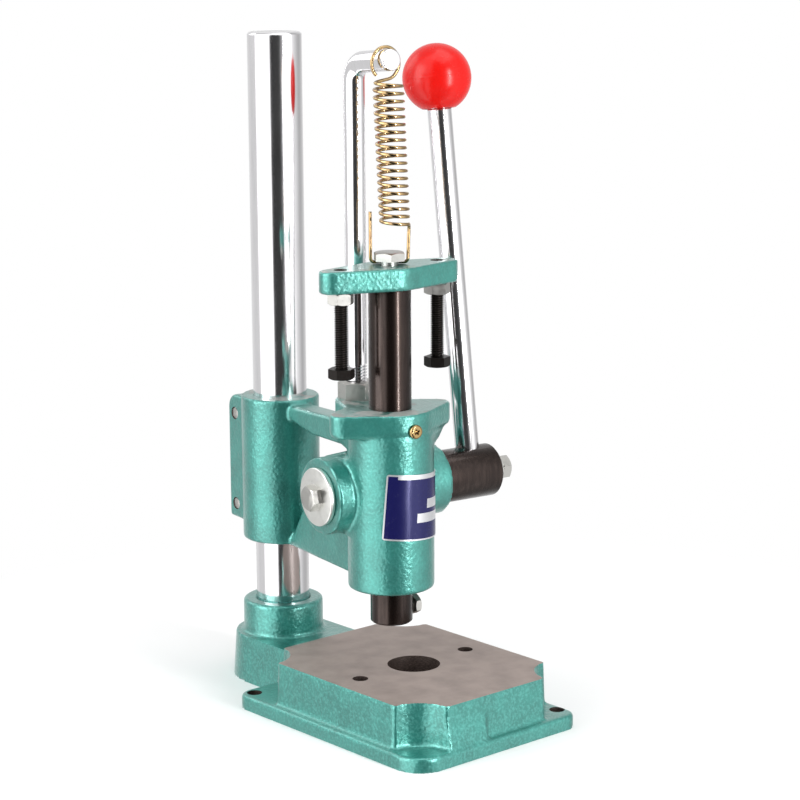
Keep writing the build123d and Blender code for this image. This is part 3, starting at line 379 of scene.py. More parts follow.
def eased_copy(node, name, edge):
    """A copy of a CAD node, merged to whole faces, with its sharp edges broken."""
    obj = twin(frame["nodes"][node], name)
    edit(obj)
    bpy.ops.mesh.remove_doubles(threshold=WELD)
    bpy.ops.mesh.dissolve_limited(angle_limit=math.radians(0.5))
    leave_edit()
    apply_modifier(
        obj, "BEVEL", width=edge, segments=2, limit_method="ANGLE",
        angle_limit=math.radians(35), use_clamp_overlap=True,
    )
    return obj


def dress(obj, material, node, angle=35):
    """Give a finished piece its finish and its body, and hide the CAD node that it stands for."""
    only(obj)
    bpy.ops.object.shade_smooth_by_angle(angle=math.radians(angle))
    if not obj.data.materials:
        obj.data.materials.append(material)
    elif material is not None:
        obj.data.materials[0] = material
    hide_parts(node)
    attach(obj, BODY_OF[node])


def repaint(node, material):
    """Give a CAD node that stays in view its finish."""
    obj = frame["nodes"][node]
    if not obj.material_slots:
        obj.data.materials.append(material)
    for material_slot in obj.material_slots:
        material_slot.material = material


# ---------------------------------------------------------------- finishes


def rgba(colour):
    return (*colour, 1.0)


def plug(node, key, value):
    """Set a node's input to a value, or link another node's output to it."""
    if isinstance(value, bpy.types.NodeSocket):
        node.id_data.links.new(value, node.inputs[key])
    else:
        node.inputs[key].default_value = value


def add_node(tree, kind, inputs=None, **settings):
    """Add a node with its settings; each input is a value or another node's output."""
    node = tree.nodes.new("ShaderNode" + kind)
    for key, value in settings.items():
        setattr(node, key, value)
    for key, value in (inputs or {}).items():
        plug(node, key, value)
    return node


def noise(tree, place, size, detail, roughness=0.5):
    """A cloudy pattern, its blots about as wide as size."""
    return add_node(
        tree, "TexNoise",
        {"Vector": place, "Scale": 1 / size, "Detail": detail, "Roughness": roughness},
    ).outputs["Fac"]


def ranged(tree, value, read=(0.0, 1.0), give=(0.0, 1.0)):
    """A value, with the range that is read laid over the range to give."""
    inputs = {"Value": value, 1: read[0], 2: read[1], 3: give[0], 4: give[1]}
    return add_node(tree, "MapRange", inputs).outputs["Result"]


def maths(tree, operation, *values, clamp=False):
    inputs = dict(enumerate(values))
    return add_node(tree, "Math", inputs, operation=operation, use_clamp=clamp).outputs[0]


def mix_numbers(tree, share, first, second):
    return add_node(tree, "Mix", {0: share, 2: first, 3: second}).outputs[0]


def mix_colours(tree, share, first, second):
    first, second = (
        colour if isinstance(colour, bpy.types.NodeSocket) else rgba(colour)
        for colour in (first, second)
    )
    return add_node(tree, "Mix", {0: share, 6: first, 7: second}, data_type="RGBA").outputs[2]


def bump(tree, strength, distance, height):
    inputs = {"Strength": strength, "Distance": distance, "Height": height}
    return add_node(tree, "Bump", inputs).outputs[0]


def feed(shader, **values):
    """Set a shader's sockets by name, each to a value or another node's output."""
    for key, value in values.items():
        plug(shader, key.replace("_", " "), value)


def new_finish(name, **constants):
    """A material with its node tree, its shader and the coordinates that patterns run on."""
    material = bpy.data.materials.new(name)
    material.use_nodes = True
    tree = material.node_tree
    shader = tree.nodes["Principled BSDF"]
    feed(shader, **constants)
    return material, tree, shader, add_node(tree, "TexCoord").outputs["Object"]


def hammered_enamel(name, colours, bare, paint_left, iron, flecks=0.18):
    """Hammered enamel on sand-cast iron, milled bare on top.

    Silicone draws the enamel into shallow glossy cells two millimetres wide, whose domes gather
    its aluminium flakes, and the sand mould's grain lies under it.
    Level faces between the two bare heights are milled iron, with scraps of paint left on them.
    flecks is how far the gathered flakes and the painted highlight along the edges pale the
    colour.
    """
    material, tree, shader, place = new_finish(name, Coat_Roughness=0.28)
    cells = add_node(
        tree, "TexVoronoi", {"Vector": place, "Scale": 1 / (2.0 * MM), "Randomness": 1.0},
        feature="SMOOTH_F1",
    ).outputs["Distance"]
    grain = noise(tree, place, 1.4 * MM, 4.0, 0.55)
    drift = noise(tree, place, 14 * MM, 2.0)
    dome = ranged(tree, cells, (0.05, 0.65), (1.0, 0.0))
    flakes = ranged(tree, maths(tree, "MULTIPLY_ADD", dome, 0.10, grain), (0.48, 0.68))
    # Painted highlight: where Pointiness is high, along sharp edges, the enamel is paled and made
    # more metallic; from here flakes also carries it
    edge = add_node(tree, "NewGeometry").outputs["Pointiness"]
    painted_edge_highlight = ranged(tree, edge, (0.53, 0.60), (0.0, 0.4))
    flakes = maths(tree, "ADD", flakes, painted_edge_highlight, clamp=True)
    depth = ranged(tree, drift, (0.35, 0.65))
    lacquer = mix_colours(tree, depth, colours.enamel_dark, colours.enamel)
    # The gathered flakes and the painted edge highlight pale the colour towards the bright enamel
    shown = maths(tree, "MULTIPLY", flakes, flecks)
    enamel = mix_colours(tree, shown, lacquer, colours.enamel_light)

    # Where the mill has been: level faces between the heights given, less the scraps of paint
    facing = add_node(tree, "TexCoord").outputs["Normal"]
    level = add_node(tree, "SeparateXYZ", {0: facing}).outputs["Z"]
    height = add_node(tree, "SeparateXYZ", {0: place}).outputs["Z"]
    milled = ranged(tree, level, (0.80, 0.92))
    for share in (
        maths(tree, "GREATER_THAN", height, bare[0]),
        maths(tree, "LESS_THAN", height, bare[1]),
        ranged(tree, drift, (paint_left - 0.05, paint_left + 0.05)),
    ):
        milled = maths(tree, "MULTIPLY", milled, share)
    stain = ranged(tree, noise(tree, place, 16 * MM, 5.0, 0.55), (0.32, 0.60))
    iron = mix_colours(tree, stain, shade(iron, 0.78), iron)
    mirror = ranged(tree, flakes, give=(0.56, 0.66))
    relief = maths(tree, "MULTIPLY_ADD", dome, 0.6, grain)
    strength = ranged(tree, milled, give=(0.55, 0.03))
    normal = bump(tree, strength, 0.28 * MM, relief)
    feed(
        shader,
        Base_Color=mix_colours(tree, milled, enamel, iron),
        Roughness=mix_numbers(tree, milled, 0.34, 0.50),
        Metallic=mix_numbers(tree, milled, mirror, 0.35),
        Coat_Weight=ranged(tree, milled, give=(1.0, 0.0)),
        Normal=normal,
        Coat_Normal=normal,
    )
    return material


# How a metal's pattern is stretched: into streaks along a bar's length, not at all, or into rings
# round a bore
ALONG, EVEN, ROUND = (1, 1, 0.12), (1, 1, 1), (1, 1, 3)


def streaked_metal(name, colour, worn, roughness, streak, wear, metallic=1.0, stretch=ALONG):
    """A turned, drawn or plated metal whose finish has rubbed in blots as wide as streak."""
    material, tree, shader, place = new_finish(name, Metallic=metallic)
    drawn = add_node(tree, "Mapping", {"Vector": place, "Scale": stretch}).outputs[0]
    blots = noise(tree, drawn, streak, 5.0, 0.6)
    rubbed = ranged(tree, blots, (0.42, 0.78), (0.0, wear))
    feed(
        shader,
        Base_Color=mix_colours(tree, rubbed, colour, worn),
        Roughness=ranged(tree, blots, (0.3, 0.7), (roughness * 1.15, roughness * 0.8)),
        Normal=bump(tree, 0.06, 0.03 * MM, blots),
    )
    return material


def hard_chrome(colours):
    """Ground bar with hard chrome: a mirror with very faint draw lines."""
    return streaked_metal(
        "hard_chrome", colours.chrome, shade(colours.chrome, 0.86), roughness=0.14,
        streak=3 * MM, wear=0.6,
    )


def blued_steel(colours):
    """Turned steel, oil-blackened: brown-black, half matt, rubbed in streaks, filmed with oil."""
    material = streaked_metal(
        "blued_steel", colours.blued, colours.blued_worn, roughness=0.27, streak=2.2 * MM,
        wear=0.3, metallic=0.9,
    )
    feed(material.node_tree.nodes["Principled BSDF"], Coat_Weight=0.2, Coat_Roughness=0.12)
    return material


def black_oxide(colours):
    """Black-oxide bolts: near black with a soft oily gloss."""
    return streaked_metal(
        "black_oxide_steel", colours.black_oxide, colours.blued, roughness=0.42,
        streak=1.5 * MM, wear=0.6, metallic=0.85, stretch=EVEN,
    )


def bright_zinc(colours):
    """Zinc plate, clear passivated: pale and softly mirrored."""
    return streaked_metal(
        "bright_zinc_plate", colours.zinc, shade(colours.zinc, 0.75), roughness=0.34,
        streak=3 * MM, wear=0.35, stretch=EVEN,
    )


def washer_zinc(colours):
    """The same plate on the washers, brighter."""
    return streaked_metal(
        "washer_zinc_plate", colours.washer_zinc, shade(colours.washer_zinc, 0.8),
        roughness=0.34, streak=3 * MM, wear=0.4, stretch=EVEN,
    )


def yellow_zinc(colours):
    """Spring wire with yellow passivation: gold that drifts to pink."""
    return streaked_metal(
        "yellow_zinc_wire", colours.yellow_zinc, colours.yellow_zinc_pink, roughness=0.15,
        streak=5 * MM, wear=0.75, stretch=EVEN,
    )


def turned_brass(colours):
    """Brass screw, lacquered by handling."""
    return streaked_metal(
        "turned_brass", colours.brass, shade(colours.brass, 0.5), roughness=0.20,
        streak=1.2 * MM, wear=0.5, stretch=EVEN,
    )


def bore_oil_and_shade(colours):
    """Bored or tapped cast iron, dark with cutting oil and with painted shade inside the holes."""
    return streaked_metal(
        "bore_oil_and_shade", colours.bore_oil_and_shade, colours.machined_dark, roughness=0.45,
        streak=1.5 * MM, wear=0.4, metallic=0.5, stretch=ROUND,
    )


def moulded_ball(colours):
    """Moulded phenolic ball: deep even red with a clear gloss and slight flow marks."""
    material, tree, shader, place = new_finish(
        "moulded_red_plastic", IOR=1.5, Metallic=0.0, Specular_IOR_Level=0.30
    )
    flow = noise(tree, place, 22 * MM, 2.0)
    fine = noise(tree, place, 3 * MM, 2.0)
    feed(
        shader,
        Base_Color=mix_colours(tree, flow, colours.ball, shade(colours.ball, 0.82)),
        Roughness=ranged(tree, fine, give=(0.22, 0.30)),
        Normal=bump(tree, 0.04, 0.1 * MM, fine),
    )
    return material


def plate_finish(name, colour, metallic, roughness):
    """Thin aluminium plate, printed or left bare, scuffed by handling."""
    material, tree, shader, place = new_finish(name, Metallic=metallic)
    scuffs = noise(tree, place, 2.5 * MM, 6.0, 0.7)
    worn = ranged(tree, scuffs, (0.58, 0.78), (0.0, 0.15))
    pale = [0.6 * channel + 0.18 for channel in colour]
    feed(
        shader,
        Base_Color=mix_colours(tree, worn, colour, pale),
        Roughness=ranged(tree, scuffs, give=(roughness * 0.8, roughness * 1.3)),
    )
    return material


def bare_plate(colours):
    return plate_finish("bare_aluminium_plate", colours.plate_silver, 0.75, 0.32)


def printed_plate(colours):
    return plate_finish("printed_blue_plate", colours.plate_blue, 0.3, 0.22)


def finish(name, make):
    """A finish by name, made the first time that a piece asks for it."""
    return bpy.data.materials.get(name) or make(bpy.context.scene.press_colours)


def chrome_finish():
    return finish("hard_chrome", hard_chrome)


def zinc_finish():
    return finish("bright_zinc_plate", bright_zinc)


# ---------------------------------------------------------------- castings


def cast_skin(node, plugs, bores, bare, material, mouths=()):
    """Dress a casting as the foundry and the mill leave it: one soft skin, then crisp bores.

    Plugs fill its bores while the skin is drawn, and bare tells where the skin isn't softened. A
    bore's wall is dark, oiled iron with painted shade, and a mouth is painted as the skin is.
    """
    sizes = bpy.context.scene.press_sizes
    obj = twin(frame["nodes"][node], node + "_cast")
    obj.data.materials.clear()
    edit(obj)
    bpy.ops.mesh.remove_doubles(threshold=WELD)
    leave_edit()
    obj = join(node + "_cast", [obj, *plugs])
    grid = sizes.skin * 1
    apply_modifier(obj, "REMESH", mode="VOXEL", voxel_size=grid, adaptivity=0)
    group = obj.vertex_groups.new(name="skin")
    soft = [v.index for v in obj.data.vertices if not bare(v.co)]
    group.add(soft, 1.0, "REPLACE")
    apply_modifier(
        obj, "SMOOTH", factor=0.5, iterations=sizes.skin_passes, vertex_group="skin"
    )
    sand = bpy.data.textures.new("sand", "CLOUDS")
    sand.noise_scale = 6 * MM
    sand.noise_depth = 2
    apply_modifier(
        obj, "DISPLACE", texture=sand, texture_coords="LOCAL", strength=sizes.sand,
        mid_level=1.0, vertex_group="skin",
    )
    obj.data.materials.append(material)
    # The bores' walls take the dark oiled iron, which also paints shade inside the holes
    dark = finish("bore_oil_and_shade", bore_oil_and_shade)
    for cutter in [*mouths, *bores]:
        cutter.data.materials.clear()
        cutter.data.materials.append(dark if cutter in bores else material)
        apply_modifier(
            obj, "BOOLEAN", object=cutter, operation="DIFFERENCE", solver="MANIFOLD",
            material_mode="TRANSFER",
        )
        bpy.data.objects.remove(cutter)
    dress(obj, None, node)


def bar_at(radius, low, high, place, sides=72):
    return settle(round_bar("bar", radius, low, high, sides), place)


def upright(x, y):
    return Matrix.Translation((x, y, 0))


class PRESS_OT_base(bpy.types.Operator):
    """Cast the base: flange, table block and column socket, then mill and bore it"""

    bl_idname = "press.base"
    bl_label = "Base casting"

    def execute(self, context):
        colours = context.scene.press_colours
        middle, socket = upright(0, 0), Matrix.Translation(COLUMN_AXIS)
        behind = Matrix.Translation(COLUMN_AXIS + UP * 20 * MM)
        behind = behind @ Matrix.Rotation(-math.pi / 2, 4, "X")
        tapped = [upright(side * TAPPED_OUT, 0) for side in (-1, 1)]
        flange = [upright(x, y) for x, y in FLANGE_CORNERS]
        plugs = [
            bar_at(15.6 * MM, 0, TABLE_TOP, middle),
            bar_at(SOCKET_MOUTH, 4 * MM, COLLAR_TOP, socket),
            bar_at(4.2 * MM, 10 * MM, 29.3 * MM, behind),
        ]
        plugs += [bar_at(5 * MM, 10 * MM, TABLE_TOP, place) for place in tapped]
        plugs += [bar_at(5 * MM, 0, FLANGE_TOP, place) for place in flange]
        bores = [
            bar_at(TABLE_BORE, -MM, TABLE_TOP + MM, middle),
            bar_at(SET_SCREW_HOLE, 8 * MM, 34 * MM, behind),
            bar_at(COLUMN_BORE, 5 * MM, COLLAR_TOP + MM, socket, 96),
        ]
        mouth = [(15.8 * MM, COLLAR_TOP - 1.4 * MM), (SOCKET_MOUTH, COLLAR_TOP + MM)]
        mouths = [settle(turned("mouth", mouth, 96), socket)]
        foot, top = TABLE_TOP - 22 * MM, TABLE_TOP + MM
        bores += [bar_at(TAPPED_HOLE, foot, top, place) for place in tapped]
        bores += [bar_at(FLANGE_HOLE, -MM, 10 * MM, place) for place in flange]

        def bare(co):
            return co.z < 0.5 * MM or abs(co.z - TABLE_TOP) < 0.3 * MM

        material = hammered_enamel(
            "hammered_enamel_base", colours, (TABLE_TOP - 0.4 * MM, TABLE_TOP + 0.4 * MM),
            paint_left=0.0, iron=colours.machined_iron, flecks=0.36,
        )
        cast_skin("base_casting", plugs, bores, bare, material, mouths)
        return {"FINISHED"}


class PRESS_OT_head(bpy.types.Operator):
    """Cast the head: ram body with wings, shaft bosses, webs and the split clamp barrel"""

    bl_idname = "press.head"
    bl_label = "Head casting"

    def execute(self, context):
        colours = context.scene.press_colours
        ram, barrel, hook = placed(0, 0, 0), placed(0, THROAT, 0), placed(0, HOOK_BACK, 0)
        shaft = placed(0, SHAFT_BACK, SHAFT_HEIGHT, RIGHT)
        oil = placed(0, 0, OIL_HEIGHT, -BACK)
        clamps = [placed(0, CLAMP_BACK, z, RIGHT) for z in CLAMP_HEIGHTS]
        plugs = [
            bar_at(12.4 * MM, BODY_BOTTOM, HEAD_TOP, ram),
            bar_at(16.4 * MM, BARREL_BOTTOM, BARREL_TOP, barrel),
            bar_at(13.4 * MM, *BOSS_FACES, shaft),
            bar_at(6.4 * MM, 160 * MM, HEAD_TOP, hook),
            bar_at(2.4 * MM, 10 * MM, 24.4 * MM, oil),
        ]
        bores = [
            bar_at(RAM_BORE, BODY_BOTTOM - MM, HEAD_TOP + MM, ram),
            bar_at(COLUMN_BORE, BARREL_BOTTOM - MM, BARREL_TOP + MM, barrel),
            bar_at(SHAFT_BORE, -38 * MM, 45 * MM, shaft),
            bar_at(M12_RADIUS, HOOK_THREAD_FOOT, HEAD_TOP + MM, hook),
            bar_at(OIL_HOLE, 10 * MM, 27 * MM, oil),
        ]
        for place in clamps:
            for side in (-1, 1):
                low, high = sorted((side * 2.5 * MM, side * EAR_SIDE))
                plugs.append(bar_at(4.2 * MM, low, high, place))
            bores.append(bar_at(CLAMP_HOLE, -EAR_SIDE - MM, EAR_SIDE + MM, place))
        bpy.ops.mesh.primitive_cube_add(size=1)
        slot = named("slot")
        slot.matrix_world = placed(0, THROAT + 26 * MM, 130 * MM) @ Matrix.Diagonal(
            (3 * MM, 24 * MM, 100 * MM, 1)
        )
        bores.append(settle(slot))

        def bare(co):
            out = (co - RAM_AXIS).dot(RIGHT)
            return any(abs(co.z - z) < 0.3 * MM for z in (HEAD_TOP, BARREL_TOP)) or any(
                abs(out - face) < 0.4 * MM for face in BOSS_FACES
            )

        material = hammered_enamel(
            "hammered_enamel_head", colours, (BARREL_TOP - 0.35 * MM, HEAD_TOP + 0.4 * MM),
            paint_left=0.52, iron=colours.ground_iron,
        )
        cast_skin("head_casting", plugs, bores, bare, material)
        return {"FINISHED"}


class PRESS_OT_crossbar(bpy.types.Operator):
    """Cast the crossbar that carries the stop bolts"""

    bl_idname = "press.crossbar"
    bl_label = "Crossbar"

    def execute(self, context):
        colours = context.scene.press_colours
        centres = [placed(out, 0, 0) for out in (-BAR_HOLE, 0, BAR_HOLE)]
        radii = [M8_RADIUS, 4.85 * MM, M8_RADIUS]
        plugs = [bar_at(r + 0.5 * MM, BAR_BOTTOM, BAR_TOP, c) for r, c in zip(radii, centres)]
        bores = [bar_at(r, BAR_BOTTOM - MM, BAR_TOP + MM, c) for r, c in zip(radii, centres)]

        def bare(co):
            return any(abs(co.z - z) < 0.3 * MM for z in (BAR_TOP, BAR_BOTTOM))

        material = hammered_enamel(
            "hammered_enamel_crossbar", colours, (BAR_TOP - 0.4 * MM, BAR_TOP + 0.4 * MM),
            paint_left=0.60, iron=colours.ground_iron,
        )
        cast_skin("crossbar", plugs, bores, bare, material)
        return {"FINISHED"}


# ---------------------------------------------------------------- bars, hub and knob


class PRESS_OT_bars(bpy.types.Operator):
    """Ease the edges of the column, ram, hub and washers and plate or blue them"""

    bl_idname = "press.bars"
    bl_label = "Bars and hub"

    def execute(self, context):
        chrome, blued = chrome_finish(), finish("blued_steel", blued_steel)
        zinc = finish("washer_zinc_plate", washer_zinc)
        for node, name, edge, material, slot in (
            ("column", "column_bar", 0.25 * MM, chrome, "chrome"),
            ("lever_rod", "lever_bar", 0.2 * MM, chrome, "chrome"),
            ("ram", "ram_bar", 0.2 * MM, blued, "dark_steel"),
            ("lever_hub", "hub_turned", 0.4 * MM, blued, "dark_steel"),
            ("shaft_washer", "washer_large", 0.5 * MM, zinc, "zinc"),
            ("hub_washer", "washer_small", 0.4 * MM, zinc, "zinc"),
            ("hub_lock_washer", "washer_split", 0.3 * MM, zinc, "zinc"),
        ):
            dress(eased_copy(node, name, edge), material, node)
        for node in ("pinion_shaft", "hub_key", "column_set_screw"):
            repaint(node, blued)
        return {"FINISHED"}


class PRESS_OT_hook_rod(bpy.types.Operator):
    """Bend the hook rod over the ram and cut its thread"""

    bl_idname = "press.hook_rod"
    bl_label = "Hook rod"

    def execute(self, context):
        bend, rise = 11 * MM, math.radians(5)
        thread_top = 206 * MM
        end_front, end_height = -4 * MM, 379.3 * MM
        reach = HOOK_BACK - end_front
        knee = end_height - reach * math.tan(rise)
        tangent = bend * math.tan((math.pi / 2 - rise) / 2)
        rod = round_bar("hook_rod_bar", M12_RADIUS, thread_top, knee - tangent, 48)
        edit(rod)
        bpy.ops.transform.translate(value=(0, HOOK_BACK, 0))
        pick(rod, "FACE", lambda co, normal: normal.z > 0.9)
        centre = (0, HOOK_BACK - bend, knee - tangent)
        bpy.ops.mesh.spin(steps=14, angle=rise - math.pi / 2, center=centre, axis=(1, 0, 0))
        forward = Vector((0, -math.cos(rise), math.sin(rise)))
        straight = reach / math.cos(rise) - tangent
        bpy.ops.mesh.extrude_region_move(TRANSFORM_OT_translate={"value": forward * straight})
        leave_edit()
        if max(v.co.z for v in rod.data.vertices) < end_height:
            raise RuntimeError("the hook rod bent the wrong way")
        end = Vector((0, end_front, end_height))

        def tip(co, normal):
            return (co - end).length < 2 * MM and normal.dot(forward) > 0.9

        edit(rod)
        pick(rod, "FACE", tip)
        bpy.ops.mesh.bevel(offset=0.9 * MM, segments=3, affect="EDGES")
        bpy.ops.mesh.select_all(action="SELECT")
        bpy.ops.mesh.normals_make_consistent(inside=False)
        leave_edit()
        pitch = context.scene.press_sizes.m12_pitch
        cut_thread = thread("hook_thread", M12_RADIUS, pitch, HOOK_THREAD_FOOT, thread_top + MM)
        settle(cut_thread, Matrix.Translation((0, HOOK_BACK, 0)))
        rod = settle(join("hook_rod_bent", [rod, cut_thread]), placed(0, 0, 0))
        dress(rod, chrome_finish(), "hook_rod")
        return {"FINISHED"}


class PRESS_OT_knob(bpy.types.Operator):
    """Mould the ball knob with its parting line and its flat foot"""

    bl_idname = "press.knob"
    bl_label = "Ball knob"

    def execute(self, context):
        radius, flat = 20 * MM, 17.6 * MM

        def underside(co, normal):
            return normal.z < -0.99 and co.z < -flat + 0.1 * MM

        bpy.ops.mesh.primitive_uv_sphere_add(segments=96, ring_count=64, radius=radius)
        ball = named("ball_moulded")
        edit(ball)
        pick(ball, "EDGE", lambda co, way: abs(co.z) < 0.01 * MM and abs(way.z) < 0.01 * MM)
        bpy.ops.mesh.bevel(offset=0.28 * MM, segments=2, affect="EDGES")
        pick(ball, "VERT", lambda co, normal: abs(co.z) < 0.05 * MM)
        bpy.ops.transform.resize(value=(1.004, 1.004, 1), center_override=(0, 0, 0))
        bpy.ops.mesh.select_all(action="SELECT")
        bpy.ops.mesh.bisect(
            plane_co=(0, 0, -flat), plane_no=(0, 0, 1), use_fill=True, clear_inner=True
        )
        pick(ball, "FACE", underside)
        bpy.ops.mesh.bevel(offset=0.5 * MM, segments=2, affect="EDGES")
        pick(ball, "FACE", underside)
        bpy.ops.mesh.inset(thickness=0.8 * MM)
        bpy.ops.mesh.extrude_region_move(TRANSFORM_OT_translate={"value": (0, 0, 0.4 * MM)})
        leave_edit()
        way = BACK * math.sin(LEVER_LEAN) + UP * math.cos(LEVER_LEAN)
        foot = placed(LEVER_OUT, SHAFT_BACK, SHAFT_HEIGHT, way)
        settle(ball, foot @ Matrix.Translation((0, 0, LEVER_LENGTH)))
        dress(ball, finish("moulded_red_plastic", moulded_ball), "ball_knob")
        return {"FINISHED"}


# ---------------------------------------------------------------- fasteners


def bolt(name, flats, head, radius, pitch, length, plain=0.0):
    """A hexagon bolt with its head's seat at z 0, its shank down and its head up."""
    top = hexagon(name, flats, 0, head, low_chamfer=False)
    washer_face = round_bar("face", flats * 0.47, -0.02 * MM, 0.25 * MM, 48)
    parts = [top, washer_face]
    if plain:
        parts.append(round_bar("plain", radius, -plain - 0.3 * MM, 0.2 * MM, 40))
    shank = thread("shank", radius, pitch, -length, -plain + 0.2 * MM)
    parts.append(pointed(shank, radius, -length, MM, 0.7 * MM))
    return join(name, parts)


def m8_bolt(name, length, plain=0.0):
    pitch = bpy.context.scene.press_sizes.m8_pitch
    return bolt(name, M8_FLATS, M8_HEAD, M8_RADIUS, pitch, length, plain)


class PRESS_OT_stops(bpy.types.Operator):
    """Cut the two stop bolts and their lock nuts"""

    bl_idname = "press.stops"
    bl_label = "Stop bolts and nuts"

    def execute(self, context):
        low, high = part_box("stop_bolts")
        seat = low.z + M8_HEAD
        first = m8_bolt("stop_bolt", high.z - seat)
        second = twin(first, "stop_bolt_right")
        upside_down = Matrix.Rotation(math.pi, 4, "X")
        settle(first, placed(-BAR_HOLE, 0, seat, turn=math.radians(8)) @ upside_down)
        settle(second, placed(BAR_HOLE, 0, seat, turn=math.radians(-3)) @ upside_down)
        bolts = join("stop_bolts_cut", [first, second])
        dress(bolts, finish("black_oxide_steel", black_oxide), "stop_bolts")
        nut = hexagon("stop_nut", M8_FLATS, -6.5 * MM, 0)
        cut(nut, round_bar("hole", 3.75 * MM, -8 * MM, MM, 48))
        other = twin(nut, "stop_nut_right")
        settle(nut, placed(-BAR_HOLE, 0, BAR_BOTTOM, turn=math.radians(14)))
        settle(other, placed(BAR_HOLE, 0, BAR_BOTTOM, turn=math.radians(5)))
        dress(join("stop_nuts_plated", [nut, other]), zinc_finish(), "stop_nuts")
        return {"FINISHED"}


class PRESS_OT_bolts(bpy.types.Operator):
    """Cut the bolts of the shaft, the hub, the clamp and the crossbar, and the hook rod's nut"""

    bl_idname = "press.bolts"
    bl_label = "Bolts and nut"

    def execute(self, context):
        zinc = zinc_finish()
        left_seat, right_seat = -38.15 * MM, 88.25 * MM
        short = m8_bolt("shaft_bolt_cut", 21.8 * MM, plain=4 * MM)
        right = twin(short, "hub_bolt_cut")
        settle(short, placed(left_seat, SHAFT_BACK, SHAFT_HEIGHT, -RIGHT, math.radians(15)))
        dress(short, zinc, "shaft_bolt")
        settle(right, placed(right_seat, SHAFT_BACK, SHAFT_HEIGHT, RIGHT, math.radians(15)))
        dress(right, zinc, "hub_bolt")

        low = m8_bolt("clamp_bolt", 32.6 * MM, plain=12 * MM)
        high = twin(low, "clamp_bolt_high")
        settle(low, placed(EAR_SIDE, CLAMP_BACK, CLAMP_HEIGHTS[0], RIGHT, math.radians(9)))
        settle(high, placed(EAR_SIDE, CLAMP_BACK, CLAMP_HEIGHTS[1], RIGHT, math.radians(24)))
        dress(join("clamp_bolts_cut", [low, high]), zinc, "clamp_bolts")

        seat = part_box("crossbar_bolt")[1].z - M10_HEAD
        bar_bolt = bolt(
            "crossbar_bolt_cut", M10_FLATS, M10_HEAD, M10_RADIUS, M10_PITCH, 45 * MM, 16 * MM
        )
        settle(bar_bolt, placed(0, 0, seat, turn=math.radians(3.7 + 30)))
        dress(bar_bolt, zinc, "crossbar_bolt")

        nut = hexagon("hook_nut_plated", M12_FLATS, 0, M12_NUT, low_chamfer=False)
        cut(nut, round_bar("hole", 5.9 * MM, -MM, M12_NUT + MM))
        settle(nut, placed(0, HOOK_BACK, HEAD_TOP, turn=math.radians(22 + 30)))
        dress(nut, zinc, "hook_rod_nut")

        clamp_screw = hexagon("tool_screw_head", 10 * MM, 0, 4 * MM)
        neck = thread("tool_screw_neck", 2.7 * MM, 1 * MM, -8 * MM, 0.2 * MM)
        tool_screw = join("tool_screw_cut", [clamp_screw, neck])
        settle(tool_screw, placed(13.6 * MM, 0, 69.5 * MM, RIGHT))
        dress(tool_screw, zinc, "tool_clamp_screw")
        return {"FINISHED"}


class PRESS_OT_oil_screw(bpy.types.Operator):
    """Turn the oil hole's brass pan head screw and punch its cross recess"""

    bl_idname = "press.oil_screw"
    bl_label = "Oil screw"

    def execute(self, context):
        radius, height, rounding = 4 * MM, 2.4 * MM, 1.4 * MM
        dome = [(radius, 0), (radius, height - rounding)]
        for step in range(1, 7):
            lean = math.radians(15 * step)
            inward, below = rounding * (1 - math.cos(lean)), rounding * (1 - math.sin(lean))
            dome.append((radius - inward, height - below))
        screw = turned("oil_screw_turned", dome, 64)
        for turn in (0, math.pi / 2):
            bpy.ops.mesh.primitive_cube_add(size=1)
            wing = named("wing")
            edit(wing)
            bpy.ops.transform.resize(value=(5.4 * MM, 1.5 * MM, 3.0 * MM))
            pick(wing, "FACE", lambda co, normal: normal.z < -0.9)
            bpy.ops.transform.resize(value=(0.35, 0.5, 1))
            leave_edit()
            place = Matrix.Rotation(turn + math.radians(28), 4, "Z")
            settle(wing, Matrix.Translation((0, 0, height)) @ place)
            cut(screw, wing)
        shank = thread("oil_screw_shank", 2 * MM, 0.7 * MM, -9 * MM, 0.2 * MM)
        screw = join("oil_screw_turned", [screw, shank])
        settle(screw, placed(0, -BODY_RADIUS, OIL_HEIGHT, -BACK))
        dress(screw, finish("turned_brass", turned_brass), "oil_screw")
        return {"FINISHED"}


# ---------------------------------------------------------------- spring and plate


